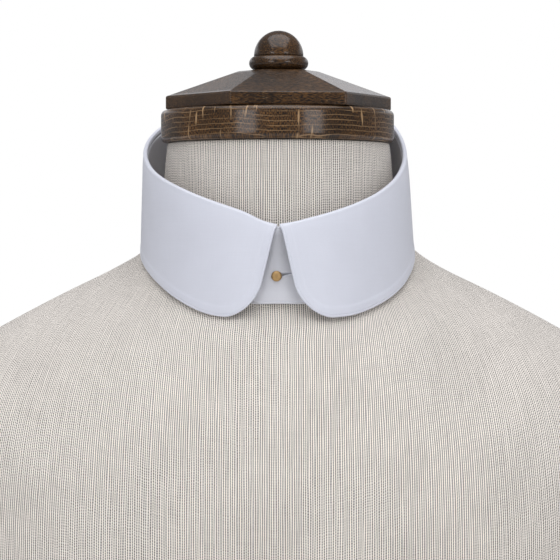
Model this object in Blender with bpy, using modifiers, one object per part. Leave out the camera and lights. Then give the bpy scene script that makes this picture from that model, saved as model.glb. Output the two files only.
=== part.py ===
"""Detachable club collar of starched white cotton, worn round the neck of a limbless dress form.

The leaf is the deep turned-down fall with rounded front corners. The band stands inside it, laps
over itself at the front and is closed there by a brass stud. The form is a plain linen-covered
bust with a turned wooden neck ring, a six-sided cap and a knob.

Units are metres, +Z is up and the front faces -Y. The origin is the middle of the form's flat base.
"""

import math
from collections import namedtuple

import bmesh
import bpy
from mathutils import Matrix, Vector

# Driving sizes of the collar
NECK_SIZE = 0.417  # round the band along its slope, a 16 1/2 inch collar
PLAN_SHARE = 0.9444  # the loop slopes down to the front, and its plan at the stud is this much shorter
BAND_RADIUS = NECK_SIZE / math.tau * PLAN_SHARE
CLOTH = 0.0010  # the starched plies of the leaf, and of the band
SEAM_GAP = 0.0006
COLLAR_LEVEL = 0.160  # above the base, near the stud

# The worn collar, one row for each direction round the neck, from the front (0) to the back (180).
# Heights are above COLLAR_LEVEL. The collar sits a little askew: a skew is added on the wearer's right
# and taken away on the left, the leaf's at both lower edges. The other columns are distances outside
# BAND_RADIUS, and the fold's radius.
COLLAR_COLUMNS = (
    "angle fold_top fold_skew band_foot leaf_foot leaf_skew band_out fold_out leaf_out roll"
).split()
COLLAR_ROWS = (
    (0, 0.0262, 0.0, -0.0113, -0.0180, 0.0, 0.0000, 0.0035, 0.0066, 0.00165),
    (15, 0.0312, 0.0015, -0.0107, -0.0180, 0.0, 0.0000, 0.0034, 0.0066, 0.00155),
    (30, 0.0364, 0.0019, -0.0047, -0.0163, 0.0003, 0.0001, 0.0031, 0.0063, 0.00120),
    (45, 0.0422, 0.0020, 0.0008, -0.0102, 0.0011, 0.0002, 0.0026, 0.0058, 0.00105),
    (60, 0.0487, 0.0014, 0.0068, -0.0021, 0.0016, 0.0004, 0.0021, 0.0052, 0.00095),
    (75, 0.0558, 0.0006, 0.0135, 0.0062, 0.0008, 0.0006, 0.0013, 0.0044, 0.00090),
    (90, 0.0636, 0.0, 0.0198, 0.0130, 0.0, 0.0008, 0.0009, 0.0040, 0.00085),
    (105, 0.0724, -0.0012, 0.0265, 0.0195, -0.0010, 0.0010, 0.0005, 0.0041, 0.00085),
    (120, 0.0798, -0.0022, 0.0335, 0.0260, -0.0012, 0.0012, -0.0001, 0.0043, 0.00085),
    (150, 0.0860, -0.0012, 0.0408, 0.0336, -0.0005, 0.0015, -0.0012, 0.0050, 0.00085),
    (180, 0.0880, 0.0, 0.0430, 0.0362, 0.0, 0.0016, -0.0018, 0.0052, 0.00085),
)
LEAN = -0.027  # sideways, for each metre up

# The leaf: its front edges slant apart below the fold and end in round corners
LEAF_RADIUS = 0.0685  # turns a distance round the leaf into an angle
FRONT_HALF_GAP = 0.00103
FRONT_SLANT = 0.235
FRONT_LEAN = 0.038  # the opening stands upright, against the lean of the neck
FRONT_SHIFT = -0.0003
SLANT_FADES_BY = 0.070  # along the leaf from its front edge
CORNER_RADIUS = 0.0170
CORNER_COLUMNS = 9
SIDE_COLUMNS = 25
LEAF_ROWS = 8
LEAF_OPENING = 1.25  # power by which the leaf moves away from the band below the fold
ROLL_STEPS = 5
TURNED_IN = 0.0011  # how far the fold reaches down inside before the band starts

# The band: two ends that lap at the front, each with a buttonhole, and one buttonhole at the back
LAP_OFFSET = 0.00068  # one lapped end lies this far out, the other this far in
LAP_FULL_TO = math.radians(17)
LAP_ENDS_AT = math.radians(42)
TAB_LENGTH = 0.017  # past the centre front
TAB_STRAIGHT = 0.0085  # of that length, before the end rounds off
TAB_STEPS = 6
TAB_TIP = math.radians(79)
BAND_COLUMNS = 66
BAND_SHARES = (0.0, 0.12, 0.24, 0.50, 0.64, 0.78, 0.90, 1.0)
SLIT_HALF = 0.0003
SLIT_LENGTH = 0.0110
BACK_SLIT_LENGTH = 0.0140
ROUND_OFF = 1e-7

# The stud
STUD_X = -0.0008
STUD_HEIGHT = 0.0020
SHANK_RADIUS = 0.0010
EYELET_RADIUS = SHANK_RADIUS + 0.0006
HEAD_RADIUS = 0.0025
HEAD_DEPTH = 0.0017
HEAD_SIDE = 0.0005
HEAD_STEPS = 4
PLATE_RADIUS = 0.0055
PLATE_DEPTH = 0.0010
STUD_EDGE = 0.0003
STUD_SIDES = 24
HEAD_GAP = 0.00035
PLATE_GAP = 0.00065  # at the middle of the flat plate, as the band curves towards its rim

# The bust. One row for each ring, from the neck down to the base, with its side, front and back points.
# Heights are above COLLAR_LEVEL. A greater drop keeps more of the ring at its side height, and square is
# 2 on an ellipse and more on a squarer ring.
FormRing = namedtuple("FormRing", "side_x side_y side_z front_y front_z back_y back_z drop square")
NECK_ROWS = (
    (0.0540, -0.0010, 0.0666, -0.0550, 0.0666, 0.0530, 0.0666, 2.0, 2.0),
    (0.0545, -0.0010, 0.0650, -0.0555, 0.0650, 0.0535, 0.0650, 2.0, 2.0),
    (0.0560, -0.0006, 0.0490, -0.0566, 0.0470, 0.0555, 0.0530, 2.0, 2.0),
    (0.0570, -0.0003, 0.0360, -0.0573, 0.0240, 0.0568, 0.0480, 1.5, 2.0),
    (0.0582, 0.0000, 0.0275, -0.0582, 0.0020, 0.0583, 0.0465, 1.0, 2.0),
)
BUST_ROWS = (
    (0.0800, 0.0060, 0.0056, -0.0765, -0.0300, 0.0765, 0.0190, 1.2, 2.0),
    (0.1050, 0.0090, -0.0060, -0.0870, -0.0470, 0.0890, 0.0030, 1.6, 2.05),
    (0.1380, 0.0090, -0.0235, -0.0965, -0.0680, 0.0985, -0.0180, 2.0, 2.15),
    (0.1660, 0.0070, -0.0405, -0.1030, -0.0870, 0.1045, -0.0410, 2.0, 2.3),
    (0.1830, 0.0050, -0.0590, -0.1063, -0.1040, 0.1068, -0.0660, 2.0, 2.4),
    (0.1895, 0.0020, -0.0820, -0.1070, -0.1200, 0.1070, -0.0930, 2.0, 2.5),
    (0.1900, 0.0000, -0.1080, -0.1062, -0.1340, 0.1055, -0.1180, 2.0, 2.5),
    (0.1880, 0.0000, -0.1340, -0.1045, -0.1460, 0.1030, -0.1390, 2.0, 2.5),
    (0.1860, 0.0000, -0.1565, -0.1032, -0.1565, 0.1010, -0.1565, 2.0, 2.5),
    (0.1835, 0.0000, -0.1600, -0.1007, -0.1600, 0.0985, -0.1600, 2.0, 2.5),
)
BAND_SEAT_IN = 0.0010  # the form under the band's foot
BAND_SEAT_DOWN = 0.0017
LEAF_SEAT_DOWN = 0.0026  # the form under the leaf's foot
FORM_COLUMNS_ROUND = 48
FORM_STEPS = 2

# The wooden neck ring, cap and knob. The ring sits a little to one side of the axis of the others.
WOOD_X = 0.0001
WOOD_Y = -0.001
RING_X = -0.0005
RING_RADIUS = 0.0570
RING_FOOT = 0.0670
RING_TOP = 0.0829
RING_EDGE = 0.0026
RING_SIDES = 48
CAP_RADIUS = 0.0555
CAP_TOP_RADIUS = 0.0196
CAP_FOOT = 0.0833
CAP_SHOULDER = 0.0896
CAP_TOP = 0.1022
CAP_TURN = math.radians(5.3)
CAP_SIDES = 6
CAP_EDGE = 0.0006
KNOB_FOOT = 0.1026
BEAD_RADIUS = 0.0145
BEAD_HEIGHT = 0.0070
DOME_RADIUS = 0.0121
DOME_TOP = 0.1221
KNOB_STEPS = 8
KNOB_SIDES = 32

MATERIALS = {
    "starched_cotton": ((0.80, 0.81, 0.86, 1.0), 0.62, 0.0),
    "brass": ((0.66, 0.42, 0.17, 1.0), 0.35, 1.0),
    "linen": ((0.56, 0.53, 0.48, 1.0), 0.85, 0.0),
    "dark_wood": ((0.10, 0.065, 0.04, 1.0), 0.35, 0.0),
}


def material(name):
    """The named finish as a Principled BSDF, made once."""
    found = bpy.data.materials.get(name)
    if found:
        return found
    colour, roughness, metallic = MATERIALS[name]
    made = bpy.data.materials.new(name)
    made.use_nodes = True
    shader = made.node_tree.nodes["Principled BSDF"]
    shader.inputs["Base Color"].default_value = colour
    shader.inputs["Roughness"].default_value = roughness
    shader.inputs["Metallic"].default_value = metallic
    made.diffuse_color = colour
    return made


def blend(low, high, x):
    """0 below low, 1 above high and smooth between them."""
    share = min(1.0, max(0.0, (x - low) / (high - low)))
    return share * share * (3 - 2 * share)


def slopes(keys, values):
    """The slope of a smooth curve through values at each key, from its neighbours."""
    last = len(keys) - 1
    found = []
    for i in range(last + 1):
        before, after = max(i - 1, 0), min(i + 1, last)
        found.append((values[after] - values[before]) / (keys[after] - keys[before]))
    return found


def curve_at(keys, values, x):
    """A smooth curve through values at keys, read at x. Values are numbers or vectors."""
    i = max(k for k in range(len(keys) - 1) if k == 0 or keys[k] <= x)
    slope = slopes(keys, values)
    width = keys[i + 1] - keys[i]
    t = (x - keys[i]) / width
    start = values[i] * (1 + 2 * t) * (1 - t) ** 2 + slope[i] * width * t * (1 - t) ** 2
    end = values[i + 1] * (3 - 2 * t) * t * t + slope[i + 1] * width * (t - 1) * t * t
    return start + end


def mirrored_column(name):
    """A column of the collar's table, run on past the front and back so that it joins up smoothly."""
    place = COLLAR_COLUMNS.index(name)
    rows = [(row[0], row[place]) for row in COLLAR_ROWS]
    before = [(-angle, value) for angle, value in reversed(rows[1:3])]
    after = [(360 - angle, value) for angle, value in reversed(rows[-3:-1])]
    keys, values = zip(*(before + rows + after))
    return keys, values


COLLAR_CURVES = {name: mirrored_column(name) for name in COLLAR_COLUMNS[1:]}


def around(name, angle):
    """A column of the collar's table at any angle from the front centre, in radians."""
    keys, values = COLLAR_CURVES[name]
    degrees = math.degrees(angle) % 360
    return curve_at(keys, values, min(degrees, 360 - degrees))


def askew(name, skew, angle):
    """The height of an edge of the collar, with its skew."""
    side = math.copysign(1.0, math.sin(angle))
    return around(name, angle) - side * around(skew, angle)


def fold_top(angle):
    """Height of the collar's top, where the leaf folds over."""
    return askew("fold_top", "fold_skew", angle)


def band_foot(angle):
    """Height of the band's lower edge."""
    return askew("band_foot", "leaf_skew", angle)


def leaf_foot(angle):
    """Height of the leaf's lower edge, away from its round corners."""
    return askew("leaf_foot", "leaf_skew", angle)


def at(angle, radius, height):
    """A point at that angle from the front, that far from the leaning axis of the neck."""
    x = radius * math.sin(angle) + LEAN * height
    return Vector((x, -radius * math.cos(angle), COLLAR_LEVEL + height))


def lap(angle):
    """How far the band lies out at an unwrapped angle: the end on the right laps over the other."""
    out = 1 - blend(LAP_FULL_TO, LAP_ENDS_AT, angle)
    inward = 1 - blend(LAP_FULL_TO, LAP_ENDS_AT, math.tau - angle)
    return LAP_OFFSET * (out - inward)


def roll_centre(angle):
    """Radius and height of the fold's own axis."""
    side = lap(angle % math.tau)
    height = fold_top(angle) - around("roll", angle) - CLOTH / 2
    return BAND_RADIUS + around("fold_out", angle) + side, height


def leaf_radius(angle, height):
    """How far out the middle of the leaf lies at a height below the fold."""
    centre, top = roll_centre(angle)
    start = centre + around("roll", angle)
    foot = BAND_RADIUS + around("leaf_out", angle) + lap(angle % math.tau)
    share = max(0.0, (top - height) / (top - leaf_foot(angle)))
    return start + (foot - start) * share**LEAF_OPENING


def leaf_angle(along, height):
    """The angle of a line down the leaf that starts at a distance along from the centre front."""
    fade = 1 - blend(0, SLANT_FADES_BY, abs(along) - FRONT_HALF_GAP)
    slant = FRONT_SLANT * fade * (COLLAR_ROWS[0][1] - height)
    shift = fade * (FRONT_SHIFT + FRONT_LEAN * height)
    return (along + math.copysign(slant, along) + shift) / LEAF_RADIUS


def leaf_columns():
    """Distance along the fold of each column of the right half, and how far its corner rises."""
    half_round = math.pi * LEAF_RADIUS
    for i in range(CORNER_COLUMNS):
        turn = i / CORNER_COLUMNS * math.pi / 2
        yield FRONT_HALF_GAP + CORNER_RADIUS * (1 - math.cos(turn)), CORNER_RADIUS * (1 - math.sin(turn))
    start = FRONT_HALF_GAP + CORNER_RADIUS
    for i in range(SIDE_COLUMNS):
        yield start + (half_round - start) * i / SIDE_COLUMNS, 0.0
    yield half_round, 0.0


def settle(along, height_of):
    """The angle and height where a line down the leaf meets a height that depends on the angle."""
    angle = along / LEAF_RADIUS
    for _ in range(6):
        height = height_of(angle)
        angle = leaf_angle(along, height)
    return angle, height


def leaf_column(along, rise):
    """Points down one column: up the turned-in edge, over the fold and down the leaf."""
    angle, top = settle(along, lambda a: roll_centre(a)[1])
    centre = roll_centre(angle)[0]
    roll = around("roll", angle)
    foot = settle(along, lambda a: leaf_foot(a) + rise)[1]
    points = [at(leaf_angle(along, top - TURNED_IN), centre - roll, top - TURNED_IN)]
    for i in range(ROLL_STEPS + 1):
        turn = math.pi * (1 - i / ROLL_STEPS)
        height = top + roll * math.sin(turn)
        points.append(at(leaf_angle(along, height), centre + roll * math.cos(turn), height))
    for i in range(1, LEAF_ROWS + 1):
        height = top + (foot - top) * i / LEAF_ROWS
        a = leaf_angle(along, height)
        points.append(at(a, leaf_radius(a, height), height))
    return points


def band_limits(angle):
    """Lowest and highest edge of the band at an unwrapped angle, with its rounded ends."""
    low = band_foot(angle)
    high = roll_centre(angle)[1] - TURNED_IN - SEAM_GAP
    past = max(-angle, angle - math.tau) * BAND_RADIUS - TAB_STRAIGHT
    if past > 0:
        rounding = math.sqrt(1 - (past / (TAB_LENGTH - TAB_STRAIGHT)) ** 2)
        low, high = (STUD_HEIGHT + (edge - STUD_HEIGHT) * rounding for edge in (low, high))
    return low, high


def band_radius(angle, height):
    """How far out the middle of the band lies at an unwrapped angle and a height."""
    low = band_foot(angle)
    centre, top = roll_centre(angle)
    foot = BAND_RADIUS + around("band_out", angle)
    head = centre - lap(angle % math.tau) - around("roll", angle)
    return foot + (head - foot) * (height - low) / (top - low) + lap(angle)


def stud_share():
    """Height of the buttonholes, as a share of the band from its foot."""
    low, high = band_limits(0.0)
    return (STUD_HEIGHT - low) / (high - low)


def buttonhole(angle):
    """Half the height of a buttonhole at an unwrapped angle, or None beside it."""
    stud = STUD_X / BAND_RADIUS
    for side, centre in ((1, stud), (-1, math.tau + stud)):
        along = side * (angle - centre) * BAND_RADIUS
        if -EYELET_RADIUS - ROUND_OFF <= along <= SLIT_LENGTH + ROUND_OFF:
            return max(SLIT_HALF, math.sqrt(max(0.0, EYELET_RADIUS**2 - along**2)))
    if abs(angle - math.pi) * BAND_RADIUS <= BACK_SLIT_LENGTH / 2 + ROUND_OFF:
        return SLIT_HALF
    return None


def band_angles():
    """Unwrapped angles of the band's columns: even ones, with closer ones at the tabs and buttonholes."""
    stud = STUD_X / BAND_RADIUS
    straight, rounded = TAB_STRAIGHT / BAND_RADIUS, (TAB_LENGTH - TAB_STRAIGHT) / BAND_RADIUS
    near_stud = (-1.0, -0.6, 0.0, 0.6, 1.0, SLIT_LENGTH / EYELET_RADIUS / 2, SLIT_LENGTH / EYELET_RADIUS)
    close = []
    for i in range(TAB_STEPS + 1):
        past = straight + rounded * math.sin(TAB_TIP * i / TAB_STEPS)
        close += [-past, math.tau + past]
    for share in near_stud:
        step = share * EYELET_RADIUS / BAND_RADIUS
        close += [stud + step, math.tau + stud - step]
    for share in (-0.5, 0.0, 0.5):
        close.append(math.pi + share * BACK_SLIT_LENGTH / BAND_RADIUS)
    spacing = math.tau / BAND_COLUMNS
    even = [spacing * i for i in range(BAND_COLUMNS + 1)]
    open_even = [a for a in even if min(abs(a - c) for c in close) > spacing / 5]
    return sorted(close + open_even)


def band_column(angle):
    """Points up one column of the band, with the two rows that bound the buttonholes."""
    low, high = band_limits(angle)
    half = buttonhole(angle) or SLIT_HALF
    middle = low + stud_share() * (high - low)
    heights = [low + share * (high - low) for share in BAND_SHARES]
    below, above = [h for h in heights if h < middle], [h for h in heights if h > middle]
    heights = below + [middle - half, middle + half] + above
    return [at(angle, band_radius(angle, h), h) for h in heights]


def sheet(name, columns, holes=()):
    """A cloth wall on a grid of points, with the named grid cells left open."""
    mesh = bpy.data.meshes.new(name)
    surface = bmesh.new()
    grid = [[surface.verts.new(point) for point in column] for column in columns]
    for i in range(len(grid) - 1):
        for j in range(len(grid[i]) - 1):
            if (i, j) not in holes:
                surface.faces.new((grid[i][j], grid[i + 1][j], grid[i + 1][j + 1], grid[i][j + 1]))
    surface.to_mesh(mesh)
    surface.free()
    mesh.shade_smooth()
    wall = add(name, mesh, "starched_cotton")
    thickness = wall.modifiers.new("plies", "SOLIDIFY")
    thickness.thickness = CLOTH
    thickness.offset = 0
    thickness.use_even_offset = True
    return wall


def add(name, mesh, finish):
    """A named object with its finish, in the object's collection."""
    mesh.materials.append(material(finish))
    made = bpy.data.objects.new(name, mesh)
    bpy.data.collections["club_collar_on_form"].objects.link(made)
    return made


def turned(name, profile, finish, steps, place):
    """A turned piece: radius and height pairs from top to bottom, screwed round its axis."""
    mesh = bpy.data.meshes.new(name)
    outline = bmesh.new()
    points = [outline.verts.new((radius, 0, height)) for radius, height in profile]
    for first, second in zip(points, points[1:]):
        outline.edges.new((first, second))
    outline.to_mesh(mesh)
    outline.free()
    piece = add(name, mesh, finish)
    piece.matrix_world = place
    screw = piece.modifiers.new("lathe", "SCREW")
    screw.steps = screw.render_steps = steps
    screw.use_merge_vertices = True
    screw.merge_threshold = 0.00001
    screw.use_smooth_shade = True
    return piece


def corner(radius, height, size, start, steps):
    """A quarter round of a turned profile about (radius, height), from start degrees, clockwise."""
    turns = [math.radians(start - 90 * i / steps) for i in range(steps + 1)]
    return [(radius + size * math.cos(t), height + size * math.sin(t)) for t in turns]


def make_leaf():
    """The leaf, from its right front edge round the back to its left one."""
    right = [leaf_column(along, rise) for along, rise in leaf_columns()]
    left = [leaf_column(-along, rise) for along, rise in leaf_columns()]
    return sheet("collar_leaf", right + left[-2::-1])


def make_band():
    """The band, from the tip of its outer tab round the neck to the tip of its inner one."""
    angles = band_angles()
    slit_row = sum(share < stud_share() for share in BAND_SHARES)
    holes = {
        (i, slit_row)
        for i in range(len(angles) - 1)
        if buttonhole(angles[i]) is not None and buttonhole(angles[i + 1]) is not None
    }
    return sheet("collar_band", [band_column(a) for a in angles], holes)


def stud_profile(shank):
    """Radius and height pairs of a domed head, a shank of that length and a flat plate with eased edges."""
    profile = []
    for i in range(HEAD_STEPS + 1):
        turn = math.pi / 2 * i / HEAD_STEPS
        dome = (HEAD_DEPTH - HEAD_SIDE) * math.cos(turn)
        profile.append((HEAD_RADIUS * math.sin(turn), shank + HEAD_SIDE + dome))
    profile += [(HEAD_RADIUS - STUD_EDGE, shank), (SHANK_RADIUS, shank), (SHANK_RADIUS, 0.0)]
    profile += corner(PLATE_RADIUS - STUD_EDGE, -STUD_EDGE, STUD_EDGE, 90, 2)
    profile += corner(PLATE_RADIUS - STUD_EDGE, STUD_EDGE - PLATE_DEPTH, STUD_EDGE, 0, 2)
    return profile + [(0.0, -PLATE_DEPTH)]


def make_stud():
    """The stud, turned in one and square to the lapped band."""
    angle = STUD_X / BAND_RADIUS
    inner = band_radius(math.tau + angle, STUD_HEIGHT) - CLOTH / 2 - PLATE_GAP
    front = band_radius(angle, STUD_HEIGHT)
    shank = front + CLOTH / 2 + HEAD_GAP - inner
    lean = math.atan2(band_radius(angle, STUD_HEIGHT + PLATE_RADIUS) - front, PLATE_RADIUS)
    outward = Matrix.Rotation(angle, 4, "Z") @ Matrix.Rotation(math.pi / 2 + lean, 4, "X")
    place = Matrix.Translation(at(angle, inner, STUD_HEIGHT)) @ outward
    return turned("collar_stud", stud_profile(shank), "brass", STUD_SIDES, place)


def form_ring(row, angle):
    """The point of one ring of the bust at an angle from the front."""
    ring = FormRing(*row)
    end_y, end_z = (ring.front_y, ring.front_z) if math.cos(angle) > 0 else (ring.back_y, ring.back_z)
    sine, cosine = math.sin(angle), abs(math.cos(angle))
    x = math.copysign(ring.side_x * abs(sine) ** (2 / ring.square), sine)
    y = ring.side_y + (end_y - ring.side_y) * cosine ** (2 / ring.square)
    z = ring.side_z + (end_z - ring.side_z) * cosine**ring.drop
    return Vector((x, y, COLLAR_LEVEL + z))


def seats(angle):
    """The points of the bust just below the band's foot and just below the leaf's."""
    band_seat = BAND_RADIUS + around("band_out", angle) - BAND_SEAT_IN
    leaf_seat = BAND_RADIUS + around("leaf_out", angle)
    return [
        at(angle, band_seat, band_foot(angle) - BAND_SEAT_DOWN),
        at(angle, leaf_seat, leaf_foot(angle) - LEAF_SEAT_DOWN),
    ]


def form_column(angle):
    """Points down one column of the bust, smoothed between its rings."""
    neck = [form_ring(row, angle) for row in NECK_ROWS]
    bust = [form_ring(row, angle) for row in BUST_ROWS]
    rings = neck + seats(angle) + bust
    lengths = [0.0]
    for upper, lower in zip(rings, rings[1:]):
        lengths.append(lengths[-1] + (lower - upper).length)
    points = []
    for start, end in zip(lengths, lengths[1:]):
        for i in range(FORM_STEPS):
            points.append(curve_at(lengths, rings, start + (end - start) * i / FORM_STEPS))
    return points + [rings[-1]]


def make_form():
    """The linen-covered bust: a loft through its rings, closed at the neck and at the base."""
    mesh = bpy.data.meshes.new("form_body")
    surface = bmesh.new()
    columns = []
    for i in range(FORM_COLUMNS_ROUND):
        points = form_column(math.tau * i / FORM_COLUMNS_ROUND)
        columns.append([surface.verts.new(point) for point in points])
    for i, column in enumerate(columns):
        following = columns[(i + 1) % FORM_COLUMNS_ROUND]
        for j in range(len(column) - 1):
            surface.faces.new((column[j], column[j + 1], following[j + 1], following[j]))
    surface.faces.new([column[0] for column in columns])
    surface.faces.new([column[-1] for column in reversed(columns)])
    bmesh.ops.recalc_face_normals(surface, faces=surface.faces)
    surface.to_mesh(mesh)
    surface.free()
    mesh.shade_smooth()
    return add("form_body", mesh, "linen")


def on_wood_axis(x=WOOD_X, turn=0.0):
    """The place of a piece of the wooden top."""
    return Matrix.Translation((x, WOOD_Y, COLLAR_LEVEL)) @ Matrix.Rotation(turn, 4, "Z")


def make_ring():
    """The turned ring on the neck, with rounded edges."""
    edge = RING_RADIUS - RING_EDGE
    profile = [(0.0, RING_TOP)]
    profile += corner(edge, RING_TOP - RING_EDGE, RING_EDGE, 90, 4)
    profile += corner(edge, RING_FOOT + RING_EDGE, RING_EDGE, 0, 4)
    profile += [(0.0, RING_FOOT)]
    return turned("neck_ring", profile, "dark_wood", RING_SIDES, on_wood_axis(RING_X))


def make_cap():
    """The six-sided block, screwed in six steps, whose upper faces slope up to the knob."""
    profile = [(0.0, CAP_TOP), (CAP_TOP_RADIUS, CAP_TOP), (CAP_RADIUS, CAP_SHOULDER)]
    profile += [(CAP_RADIUS, CAP_FOOT), (0.0, CAP_FOOT)]
    cap = turned("neck_cap", profile, "dark_wood", CAP_SIDES, on_wood_axis(turn=CAP_TURN))
    cap.modifiers["lathe"].use_smooth_shade = False
    edges = cap.modifiers.new("eased_edges", "BEVEL")
    edges.width = CAP_EDGE
    edges.segments = 1
    return cap


def make_knob():
    """The turned knob: a round bead with a dome on it."""
    bead_half = BEAD_HEIGHT / 2
    dome_foot = KNOB_FOOT + BEAD_HEIGHT
    profile = []
    for i in range(KNOB_STEPS + 1):
        turn = math.pi / 2 * i / KNOB_STEPS
        profile.append((DOME_RADIUS * math.sin(turn), dome_foot + (DOME_TOP - dome_foot) * math.cos(turn)))
    for i in range(1, KNOB_STEPS + 1):
        turn = math.pi * (i / KNOB_STEPS - 0.5)
        out = BEAD_RADIUS - bead_half + bead_half * math.cos(turn)
        profile.append((out, KNOB_FOOT + bead_half - bead_half * math.sin(turn)))
    profile.append((0.0, KNOB_FOOT))
    return turned("neck_knob", profile, "dark_wood", KNOB_SIDES, on_wood_axis())


def main():
    """The whole object, in its own collection."""
    for old in list(bpy.data.objects):
        bpy.data.objects.remove(old)
    collection = bpy.data.collections.new("club_collar_on_form")
    bpy.context.scene.collection.children.link(collection)
    make_leaf()
    make_band()
    make_stud()
    make_form()
    make_ring()
    make_cap()
    make_knob()


main()
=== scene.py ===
"""The visible club collar, its stud and the linen bust it is worn on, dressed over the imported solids.

The collar's formulas are those of the solids, sampled closely enough for rounded edges, stitching and
the turned seam allowance. Units are metres, +Z is up and the front faces -Y.
"""

import bisect
import math
from collections import namedtuple

import bmesh
import bpy
from bpy.props import FloatProperty, FloatVectorProperty, IntProperty, PointerProperty
from mathutils import Matrix, Vector


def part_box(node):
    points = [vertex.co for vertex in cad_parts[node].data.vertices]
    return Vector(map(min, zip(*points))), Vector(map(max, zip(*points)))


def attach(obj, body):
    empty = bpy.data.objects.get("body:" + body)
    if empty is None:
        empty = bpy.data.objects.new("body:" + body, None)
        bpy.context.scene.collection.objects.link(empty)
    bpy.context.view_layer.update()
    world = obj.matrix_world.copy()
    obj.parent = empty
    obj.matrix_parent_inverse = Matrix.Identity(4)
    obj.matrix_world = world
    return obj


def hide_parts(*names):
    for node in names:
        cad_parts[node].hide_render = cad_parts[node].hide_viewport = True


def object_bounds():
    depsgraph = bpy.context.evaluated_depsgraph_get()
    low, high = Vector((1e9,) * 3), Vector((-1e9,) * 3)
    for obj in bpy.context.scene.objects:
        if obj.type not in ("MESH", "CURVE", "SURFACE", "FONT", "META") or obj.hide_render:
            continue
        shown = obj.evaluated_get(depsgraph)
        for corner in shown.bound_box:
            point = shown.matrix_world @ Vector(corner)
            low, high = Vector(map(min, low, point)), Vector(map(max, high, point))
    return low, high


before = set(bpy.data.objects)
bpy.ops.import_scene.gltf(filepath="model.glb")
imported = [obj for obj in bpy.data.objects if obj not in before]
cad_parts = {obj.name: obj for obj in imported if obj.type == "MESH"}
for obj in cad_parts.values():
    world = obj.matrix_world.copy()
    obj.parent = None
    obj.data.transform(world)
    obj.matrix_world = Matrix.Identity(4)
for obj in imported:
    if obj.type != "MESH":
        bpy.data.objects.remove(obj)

bl_info = {
    "name": "Club collar on a bust",
    "version": (1, 0, 0),
    "blender": (4, 5, 0),
    "location": "3D View > Sidebar > Collar",
    "description": "Makes a starched detachable collar, its stud and the linen bust it is worn on",
    "category": "Add Mesh",
}

CAD_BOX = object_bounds()
RING_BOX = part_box("neck_ring")
COLLECTION = "club_collar_on_form"

# The worn collar, one row for each direction round the neck, from the front (0) to the back (180).
# Heights are above COLLAR_LEVEL. The collar sits a little askew: a skew is added on the wearer's right
# and taken away on the left, the leaf's at both lower edges. The other columns are distances outside
# the band, and the fold's radius.
COLLAR_COLUMNS = (
    "angle fold_top fold_skew band_foot leaf_foot leaf_skew band_out fold_out leaf_out roll"
).split()
COLLAR_ROWS = (
    (0, 0.0262, 0.0, -0.0113, -0.0180, 0.0, 0.0000, 0.0035, 0.0066, 0.00165),
    (15, 0.0312, 0.0015, -0.0107, -0.0180, 0.0, 0.0000, 0.0034, 0.0066, 0.00155),
    (30, 0.0364, 0.0019, -0.0047, -0.0163, 0.0003, 0.0001, 0.0031, 0.0063, 0.00120),
    (45, 0.0422, 0.0020, 0.0008, -0.0102, 0.0011, 0.0002, 0.0026, 0.0058, 0.00105),
    (60, 0.0487, 0.0014, 0.0068, -0.0021, 0.0016, 0.0004, 0.0021, 0.0052, 0.00095),
    (75, 0.0558, 0.0006, 0.0135, 0.0062, 0.0008, 0.0006, 0.0013, 0.0044, 0.00090),
    (90, 0.0636, 0.0, 0.0198, 0.0130, 0.0, 0.0008, 0.0009, 0.0040, 0.00085),
    (105, 0.0724, -0.0012, 0.0265, 0.0195, -0.0010, 0.0010, 0.0005, 0.0041, 0.00085),
    (120, 0.0798, -0.0022, 0.0335, 0.0260, -0.0012, 0.0012, -0.0001, 0.0043, 0.00085),
    (150, 0.0860, -0.0012, 0.0408, 0.0336, -0.0005, 0.0015, -0.0012, 0.0050, 0.00085),
    (180, 0.0880, 0.0, 0.0430, 0.0362, 0.0, 0.0016, -0.0018, 0.0052, 0.00085),
)
PLAN_SHARE = 0.9444  # the loop slopes down to the front, and its plan at the stud is this much shorter
COLLAR_LEVEL = 0.160  # above the base, near the stud
LEAN = -0.027  # sideways, for each metre up

# The leaf, in flat measures along its fold and up from its foot
LEAF_RADIUS = 0.0685  # turns a distance round the leaf into an angle
FRONT_HALF_GAP = 0.00103
FRONT_LEAN = 0.038  # the opening stands upright, against the lean of the neck
FRONT_SHIFT = -0.0003
SLANT_FADES_BY = 0.070
LEAF_OPENING = 1.25  # power by which the leaf moves away from the band below the fold
TURNED_IN = 0.0011  # how far the fold reaches down inside before the band starts
ROLL_LEAVES_AT = math.radians(17)  # the fold hands over to the leaf while it still slopes outward
LEAVES_LESS = math.radians(8)  # less of that slope at the sides
SLOPE_FADES_OVER = 0.0042
FOLD_TUCK = 0.00020  # the pressed fold lies this much further in than the solid one, and is thinner
FOLD_PRESSED = 0.00030
SEAM_STEP = 0.00045  # how far the top of the band steps in from the turned-in edge of the leaf, behind
FOLD_STEPS = 14
# Rows of the leaf below its fold, as shares of the way to the foot
LEAF_SHARES = (0.02, 0.045, 0.08, 0.12, 0.17, 0.23, 0.30, 0.38, 0.46, 0.54, 0.62, 0.70, 0.78, 0.86, 0.93, 1.0)
CORNER_STEPS = 22
SIDE_STEP = 0.0028
SETTLE_TURNS = 6
WAVES_ALONG = (71, 37)  # slow waves left by the iron, in radians a metre
WAVES_DOWN = (83, 112)
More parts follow.
